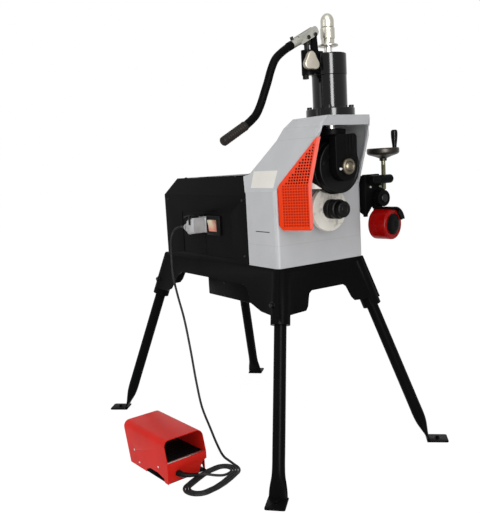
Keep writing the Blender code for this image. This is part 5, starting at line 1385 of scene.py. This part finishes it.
def guardShape():
    # a sheet in one plane, punched right through above the fold height and with blind pockets below that
    # stand in for holes over a backing
    look = guardLook
    low, fold, brow = look["low"], look["fold"], look["brow"]
    length, top, start, hole = look["length"], look["topLength"], look["start"], look["hole"]
    corners = [(look["snip"], low, 0.004), (length, low, 0.006), (length, fold, 0.004), (top, brow, 0.002)]
    corners += [(top - look["browWidth"], brow, 0.002), (start, fold, 0.006)]
    corners.append((start, low + look["snip"], 0.004))
    sheet = guardSheet(eased(corners, 5, True), 0, guardSide["thick"], 0.0006)
    holes = []
    for row in range(int((brow - low - look["rowSpare"]) / look["pitch"]) + 1):
        z = low + look["firstRow"] + row * look["pitch"]
        rise = max(0.0, z + hole - fold) / (brow - fold)
        first = look["firstHole"] + rise * (top - look["browEdge"])
        depth = look["through"] if z > fold else look["pocket"]
        spot = length + (top - length) * rise - look["edge"]
        while spot - hole > first:
            square = [(spot - hole, z), (spot, z), (spot, z + hole), (spot - hole, z + hole)]
            holes.append(guardSheet(square, depth, look["cutDepth"]))
            spot -= look["pitch"]
    return cut(sheet, merged(holes))


def guardLipShape():
    # the return flange along the free edge, widest at its top, laid flat in the sheet's plane; its light red
    # is a painted highlight where the real bent flange catches the light
    look = guardLook
    low, fold, brow = look["low"] + 0.004, look["fold"], look["brow"]
    length, top = look["length"], look["topLength"]
    narrow, wide = look["flange"]
    lapBelow, lapAbove = look["flangeLap"]
    sunk, thick = look["flangeThick"]
    outline = [(length + narrow, low), (length + narrow, fold), (top + wide, brow)]
    outline += [(top - lapAbove, brow), (length - lapBelow, fold), (length - lapBelow, low)]
    return guardSheet(outline, guardSide["thick"] - sunk, thick, 0.0004)


earLook = {"back": -0.002, "tip": 0.032, "low": 0.872, "high": 0.894, "depth": -0.0045, "thick": 0.002}


def guardEarShape():
    # the bare pointed ear beside the guard's fold
    look = earLook
    back, tip = guardLook["length"] + look["back"], guardLook["length"] + look["tip"]
    outline = [(back, look["high"]), (tip, look["low"]), (back, look["low"])]
    return guardSheet(outline, look["depth"], -look["thick"], 0.0002, 1)


tabLook = {
    "low": (-0.1665, -0.3688, 0.765),
    "high": (-0.15, -0.3663, 0.871),
    "screwX": -0.1575,
    "screwZ": (0.785, 0.848),
    "screwSize": 0.004,
}


def guardTabShape():
    # the folded tab that screws the guard to the housing's front
    look = tabLook
    parts = [blockShape(at(*look["low"]), at(*look["high"]), 0.0008)]
    for z in look["screwZ"]:
        spot = at(look["screwX"], look["low"][1], z)
        parts.append(panScrewShape(spot, frontward, look["screwSize"]))
    return merged(parts)


piece("throatGuard", guardShape(), "stand", "red_enamel", "throat_guard", "guardRed")
# the lip's light red is a painted highlight
piece("guardLip", guardLipShape(), "stand", "red_enamel", finish="flangeHighlightRed")
piece("guardEar", guardEarShape(), "stand", "cast_zinc", finish="labelCard")
piece("guardTab", guardTabShape(), "stand", "red_enamel")
print("guard done")


# Stabiliser

refined("stabiliserBracket", "stabiliser_bracket", "stand", "black_casting", 0.0018, 3)
refined("rollerArm", "stabiliser_arm", "roller_arm", "black_casting", 0.001)
stabiliserLook = {"screw": (0.247, -0.4), "bar": 0.881, "crank": (0.2785, -0.4212), "hub": (0.232, 0.82)}
barCorners = [
    (0, 0.186, 0), (0.0125, 0.186, 0), (0.0143, 0.1878, 0.0006), (0.0143, 0.218, 0.0008),
    (0.0136, 0.219, 0.0005), (0.0136, 0.2225, 0.0005), (0.0143, 0.2235, 0.0008),
    (0.0143, 0.277, 0.0015), (0.0123, 0.2805, 0.001), (0.0083, 0.283, 0.001), (0, 0.283, 0),
]
barMiddle = Vector((middleX, stabiliserLook["screw"][1], stabiliserLook["bar"]))
crossbar = turnedShape(barCorners, barMiddle, (1, 0, 0), 64)
piece("crossbar", crossbar, "stand", "black_casting", "stabiliser_crossbar")


def onScrew(z=0.0):
    return at(*stabiliserLook["screw"], z)


def threadCorners(radius, low, high, pitch, depth):
    # the ridges of a thread, close enough for its look
    corners = []
    for i in range(int((high - low) / pitch)):
        base = low + i * pitch
        corners += [(radius, base, 0), (radius - depth, base + pitch * 0.5, 0)]
    return corners


screwCorners = [(0, 0.845, 0), (0.003, 0.845, 0)]
screwCorners += threadCorners(0.0073, 0.8495, 0.93, 0.002, 0.0006)
screwCorners += [(0.0068, 0.932, 0), (0.007, 0.94, 0), (0.007, 0.975, 0), (0, 0.975, 0)]
wheelCorners = [
    (0.0073, 0.94, 0), (0.0115, 0.94, 0.001), (0.012, 0.948, 0.001), (0.028, 0.9545, 0.003),
    (0.046, 0.96, 0.002), (0.052, 0.965, 0.003), (0.052, 0.979, 0.0035), (0.0495, 0.981, 0.0015),
    (0.044, 0.981, 0.0025), (0.0405, 0.9725, 0.003), (0.018, 0.9675, 0.003), (0.0145, 0.98, 0.001),
    (0.0073, 0.98, 0),
]
crankCorners = [
    (0, 0.9735, 0), (0.004, 0.9735, 0), (0.004, 0.9813, 0), (0.007, 0.9813, 0.0005),
    (0.0072, 0.987, 0.001), (0.01, 1.0093, 0.006), (0.011, 1.026, 0.004), (0.01, 1.035, 0.002),
    (0.0065, 1.038, 0.0015), (0, 1.038, 0),
]
screwShape = turnedShape(screwCorners, onScrew(), upward, 48)
piece("stabiliserScrew", screwShape, "stabiliser_wheel", "dark_steel", "stabiliser_screw", "oliveSteel", 50)
crankSpot = at(*stabiliserLook["crank"], 0)
crankBoss = turnedShape(ringCorners(0, 0.009, 0.966, 0.9808, 0, 0.0008), crankSpot, upward, 40)
wheel = merged([turnedShape(wheelCorners, onScrew(), upward, 96, True), crankBoss])
piece("handWheel", wheel, "stabiliser_wheel", "black_casting", "handwheel", finish="handwheelPaint")
crank = turnedShape(crankCorners, crankSpot, upward, 48)
piece("crankHandle", crank, "crank_grip", "black_rubber", "crank_handle", finish="knobBlack")
armPinCorners = [
    (0, -0.419, 0), (0.011, -0.419, 0.001), (0.013, -0.4175, 0.0006), (0.013, -0.4148, 0.0004),
    (0.008, -0.4148, 0), (0.008, -0.375, 0), (0, -0.375, 0),
]
armPin = turnedAlongY(armPinCorners, *stabiliserLook["hub"], sides=48)
piece("armPin", armPin, "stand", "dark_steel", "arm_pin", finish="blackBolt")

rollerLook = {"far": (0.208, -0.4, 0.738), "yaw": math.radians(9.7)}
rollerFar = at(*rollerLook["far"])
rollerAxis = Vector((math.sin(rollerLook["yaw"]), -math.cos(rollerLook["yaw"]), 0))
rollerCorners = [
    (0.0083, 0, 0), (0.03, 0, 0.001), (0.032, 0.0015, 0.001), (0.04, 0.0015, 0.001),
    (0.043, 0, 0.001), (0.049, 0, 0.005), (0.049, 0.065, 0.007), (0.04, 0.065, 0.002),
    (0.038, 0.063, 0.001), (0.029, 0.063, 0.001), (0.028, 0.065, 0.0005), (0.0083, 0.065, 0),
]
axleCorners = [
    (0, -0.0115, 0), (0.0125, -0.0115, 0.001), (0.0125, -0.0078, 0), (0.008, -0.0078, 0),
    (0.008, 0.0653, 0), (0.0335, 0.0653, 0.0004), (0.0335, 0.0664, 0.001), (0.022, 0.07, 0.002),
    (0.009, 0.0703, 0.0006), (0.008, 0.069, 0.0004), (0, 0.069, 0),
]
roller = turnedShape(rollerCorners, rollerFar, rollerAxis, 96, True)
piece("supportRoller", roller, "roller", "red_polyurethane", "stabiliser_roller")
rollerAxle = turnedShape(axleCorners, rollerFar, rollerAxis, 64)
piece("rollerAxle", rollerAxle, "roller_arm", "dark_steel", "roller_axle", finish="hubBlack")

bracketBolts = {
    "clampX": (0.198, 0.2425),
    "clampY": -0.385,
    "clampZ": 0.858,
    "clampSize": 0.0075,
    "plate": ((0.1883, -0.33, 0.868), (0.1883, -0.33, 0.825)),
    "plateSize": 0.01,
}


def bracketBoltShapes():
    look = bracketBolts
    parts = []
    for x in look["clampX"]:
        parts.append(boltShape(at(x, look["clampY"], look["clampZ"]), frontward, look["clampSize"], False))
    for spot in look["plate"]:
        parts.append(boltShape(at(*spot), (1, 0, 0), look["plateSize"]))
    return merged(parts)


piece("bracketBolts", bracketBoltShapes(), "stand", "dark_steel", finish="zincBolt")
print("stabiliser done")


# Switch and plug

refined("switchBezel", "switch_bezel", "stand", "black_plastic", 0.0008)
refined("rockerSwitch", "rocker", "switch_rocker", "cream_plastic", 0.001)
refined("connectorBase", "connector_base", "stand", "cast_zinc", 0.0006, finish="hoodZinc")
refined("connectorHood", "connector_hood", "stand", "cast_zinc", 0.002, 3, "hoodZinc")

latchLook = {
    "outline": [
        (0.03, 0.785), (0.062, 0.786), (0.09, 0.779), (0.092, 0.784), (0.064, 0.791), (0.03, 0.79),
    ],
    "across": (-0.233, -0.186),
    "cheekFrom": (-0.238, 0.04, 0.757),
    "cheekTo": (-0.2362, 0.052, 0.79),
}


def latchShape():
    # the black locking lever over the plug, and its cheek
    look = latchLook
    lever = prismShape(look["outline"], "X", *look["across"], 0.001)
    return merged([lever, blockShape(at(*look["cheekFrom"]), at(*look["cheekTo"]), 0.0008)])


piece("plugLatch", latchShape(), "stand", "black_plastic")

glandLook = {
    "nutFrom": 0.088,
    "nutSize": (0.0225, 0.011),
    "ribs": 7,
    "firstRib": 0.1,
    "ribPitch": 0.0045,
    "ribRadius": 0.0092,
    "taper": 0.00038,
    "groove": 0.0013,
}


def glandShape():
    # the hexagonal gland and ribbed sleeve at the cord's exit
    look = glandLook
    startX, startY, startZ = cordLook["start"]
    centre = at(startX, 0, startZ)
    parts = [hexShape(centre + backward * look["nutFrom"], backward, *look["nutSize"])]
    corners = [(0.0043, 0.0985, 0), (0.0095, 0.0985, 0.0005)]
    for i in range(look["ribs"]):
        base = look["firstRib"] + look["ribPitch"] * i
        radius = look["ribRadius"] - look["taper"] * i
        neck = radius - look["groove"]
        corners += [(radius, base, 0.0004), (radius, base + 0.0022, 0.0004)]
        corners += [(neck, base + 0.0027, 0.0003), (neck, base + 0.004, 0.0003)]
    corners += [(0.0058, 0.132, 0.0004), (0.0043, 0.132, 0)]
    parts.append(turnedShape(corners, centre, backward, 40, True))
    return merged(parts)


piece("plugGland", glandShape(), "stand", "black_rubber")
print("switch and plug done")


# Foot pedal

pedalLook = {
    "width": 0.145,
    "wall": 0.0037,  # the hood's wall and the tread's play
    "tread": [
        (0.0065, 0.056), (0.0065, 0.061), (0.012, 0.0645), (0.17, 0.06), (0.212, 0.0565),
        (0.213, 0.043), (0.197, 0.043), (0.193, 0.0545), (0.015, 0.0585),
    ],
    "edge": [
        (0.0058, 0.0555), (0.0058, 0.0613), (0.0118, 0.065), (0.015, 0.0649), (0.015, 0.064),
        (0.0122, 0.064), (0.0068, 0.0608), (0.0068, 0.0555),
    ],
    "ridges": 9,
    "firstRidge": 0.022,
    "ridgePitch": 0.0165,
    "ridgeInset": 0.012,
    "hinge": (0.205, 0.05),
    "sideScrews": ((0.055, 0.04), (0.175, 0.016)),
    "sideScrewSize": 0.0034,
    "floorScrews": ((0.03, 0.06), (0.115, 0.06), (0.03, 0.2), (0.115, 0.2)),
    "floorScrewSize": 0.004,
    "floorTop": 0.004,
    "pin": (0, 0.004, 0.0003, 0.1447, 0.0006, 0.0006),
}
pedalTurn = Matrix.Rotation(pedalFrame["turn"], 4, "Z")
refined("pedalHood", "pedal_hood", "stand", "red_enamel", 0.0005)
refined("pedalBase", "pedal_base", "stand", "black_sheet", 0.0008)
refined("pedalSwitch", "pedal_switch", "stand", "black_plastic", 0.001)


def pedalDirection(x, y, z):
    return pedalTurn @ Vector((x, y, z))


def acrossPedal(outline, bevel, segments, inset=0.0):
    # an outline of (y, z) from one wall of the hood to the other
    low = pedalLook["wall"] + inset
    points = [pedalPoint(low, y, z) for y, z in outline]
    return extrudedShape(points, pedalDirection(pedalLook["width"] - 2 * low, 0, 0), bevel, segments)


def treadShape():
    # the tread with anti-slip ridges that follow its slope
    look = pedalLook
    (startY, startZ), (endY, endZ) = look["tread"][2:4]
    parts = [acrossPedal(look["tread"], 0.0006, 2)]
    for i in range(look["ridges"]):
        y = look["firstRidge"] + look["ridgePitch"] * i
        z = startZ - (y - startY) * (startZ - endZ) / (endY - startY)
        foot, crest = z - 0.0015, z + 0.0012
        ridge = [(y, foot), (y + 0.001, crest), (y + 0.004, crest), (y + 0.005, foot)]
        parts.append(acrossPedal(ridge, 0.0004, 1, look["ridgeInset"]))
    return merged(parts)


def pedalScrewShapes():
    look = pedalLook
    out = pedalDirection(-1, 0, 0)
    parts = [panScrewShape(pedalPoint(0, y, z), out, look["sideScrewSize"]) for y, z in look["sideScrews"]]
    for x, y in look["floorScrews"]:
        parts.append(panScrewShape(pedalPoint(x, y, look["floorTop"]), upward, look["floorScrewSize"]))
    return merged(parts)


piece("treadPlate", treadShape(), "tread", "black_sheet", "pedal_plate")
piece("treadEdge", acrossPedal(pedalLook["edge"], 0.0002, 1), "tread", "bright_steel")
hinge = pedalPoint(0, *pedalLook["hinge"])
hingePin = turnedShape(ringCorners(*pedalLook["pin"]), hinge, pedalDirection(1, 0, 0), 40)
piece("pedalPin", hingePin, "stand", "bright_steel", "pedal_pin")
piece("pedalScrews", pedalScrewShapes(), "stand", "bright_steel", finish="zincBolt")

reliefLook = {
    "bar": 0.0092,
    "tip": 0.0053,
    "rings": 9,
    "ring": 0.01,
    "lastRing": 0.0058,
    "ringHalf": 0.0012,
    "collar": (0.005, 0.0108, 0, 0.0058, 0.0005, 0.0005),
    "collarSpot": (0.038, 0.0029, 0.027),
}


def reliefShape():
    # a bent rubber sleeve with rings, thinner towards the cord
    look = reliefLook
    points = smoothed([pedalPoint(*spot) for spot in cordLook["sleeve"]], 8)
    parts = [pipeShape(points, look["bar"], 32, look["tip"])]
    half, last = look["ringHalf"], look["rings"] - 1
    for i in range(look["rings"]):
        spot = 4 + round((len(points) - 10) * i / last)
        radius = look["ring"] + (look["lastRing"] - look["ring"]) * i / last
        ring = ringCorners(0.004, radius, -half, half, 0.0004, 0.0004)
        parts.append(turnedShape(ring, points[spot], points[spot + 1] - points[spot - 1], 32, True))
    spot = pedalPoint(*look["collarSpot"])
    parts.append(turnedShape(ringCorners(*look["collar"]), spot, pedalDirection(0, 1, 0), 32, True))
    return merged(parts)


piece("cordRelief", reliefShape(), "stand", "black_rubber", "strain_relief")
print("pedal done")


# Light and floor: the glint lamp shows in reflections only

lightSetup = {"world": 0.55, "floorShare": 0.88, "floorGlow": 1.07}
lamps = {  # place, aim, size, power
    "keyLight": ((-1.2, -1.6, 3.4), (0.1, -0.1, 0.7), (2.6, 2.6), 34),
    "leftLight": ((-3.4, 0.3, 1.6), (0.0, 0.0, 0.8), (1.6, 2.2), 18),
    "stripLight": ((-1.02, -2.67, 1.25), (0.08, -0.42, 1.05), (0.4, 1.9), 15),
    "glintLight": ((-1.02, -2.69, 1.25), (0.08, -0.42, 1.05), (0.8, 1.9), 150),
}


def areaLight(name, place, aim, size, power):
    data = bpy.data.lights.new(name, "AREA")
    data.shape = "RECTANGLE"
    data.size, data.size_y = size
    data.energy = power
    lamp = bpy.data.objects.new(name, data)
    lamp.visible_diffuse = name != "glintLight"
    turn = (Vector(place) - Vector(aim)).to_track_quat("Z", "Y").to_matrix().to_4x4()
    lamp.matrix_world = Matrix.Translation(place) @ turn
    bpy.context.scene.collection.objects.link(lamp)


def seenWhite(tree):
    # one where the camera, a reflection or a clear pane looks straight at it
    rays = tree.nodes.new("ShaderNodeLightPath")
    total = rays.outputs["Is Camera Ray"]
    for name in ("Is Glossy Ray", "Is Transmission Ray"):
        most = tree.nodes.new("ShaderNodeMath")
        most.operation = "MAXIMUM"
        tree.links.new(total, most.inputs[0])
        tree.links.new(rays.outputs[name], most.inputs[1])
        total = most.outputs[0]
    return total


def makeWorld():
    world = bpy.data.worlds.new("studio")
    bpy.context.scene.world = world
    world.use_nodes = True
    tree = world.node_tree
    tree.nodes.clear()
    fill = tree.nodes.new("ShaderNodeBackground")
    fill.inputs["Strength"].default_value = lightSetup["world"]
    white = tree.nodes.new("ShaderNodeBackground")
    mix = tree.nodes.new("ShaderNodeMixShader")
    out = tree.nodes.new("ShaderNodeOutputWorld")
    tree.links.new(seenWhite(tree), mix.inputs[0])
    tree.links.new(fill.outputs[0], mix.inputs[1])
    tree.links.new(white.outputs[0], mix.inputs[2])
    tree.links.new(mix.outputs[0], out.inputs[0])
    for shade in (fill, white):
        shade.inputs["Color"].default_value = (1, 1, 1, 1)


def makeFloor():
    bm = bmesh.new()
    bmesh.ops.create_grid(bm, x_segments=1, y_segments=1, size=30)
    mesh = bpy.data.meshes.new("floor")
    bm.to_mesh(mesh)
    bm.free()
    floor = bpy.data.objects.new("floor", mesh)
    bpy.context.scene.collection.objects.link(floor)
    material = bpy.data.materials.new("floorPaper")
    material.use_nodes = True
    tree = material.node_tree
    tree.nodes.clear()
    paper = tree.nodes.new("ShaderNodeBsdfDiffuse")
    paper.inputs["Color"].default_value = (0.9, 0.9, 0.9, 1)
    glow = tree.nodes.new("ShaderNodeEmission")
    share = tree.nodes.new("ShaderNodeMath")
    share.operation = "MULTIPLY"
    share.inputs[1].default_value = lightSetup["floorShare"]
    glow.inputs["Strength"].default_value = lightSetup["floorGlow"]
    mix = tree.nodes.new("ShaderNodeMixShader")
    out = tree.nodes.new("ShaderNodeOutputMaterial")
    tree.links.new(seenWhite(tree), share.inputs[0])
    tree.links.new(share.outputs[0], mix.inputs[0])
    tree.links.new(paper.outputs[0], mix.inputs[1])
    tree.links.new(glow.outputs[0], mix.inputs[2])
    tree.links.new(mix.outputs[0], out.inputs[0])
    mesh.materials.append(material)


for lampName, lampSetup in lamps.items():
    areaLight(lampName, *lampSetup)
makeWorld()
makeFloor()
bpy.context.scene.view_settings.view_transform = "Standard"
print("light and floor done")
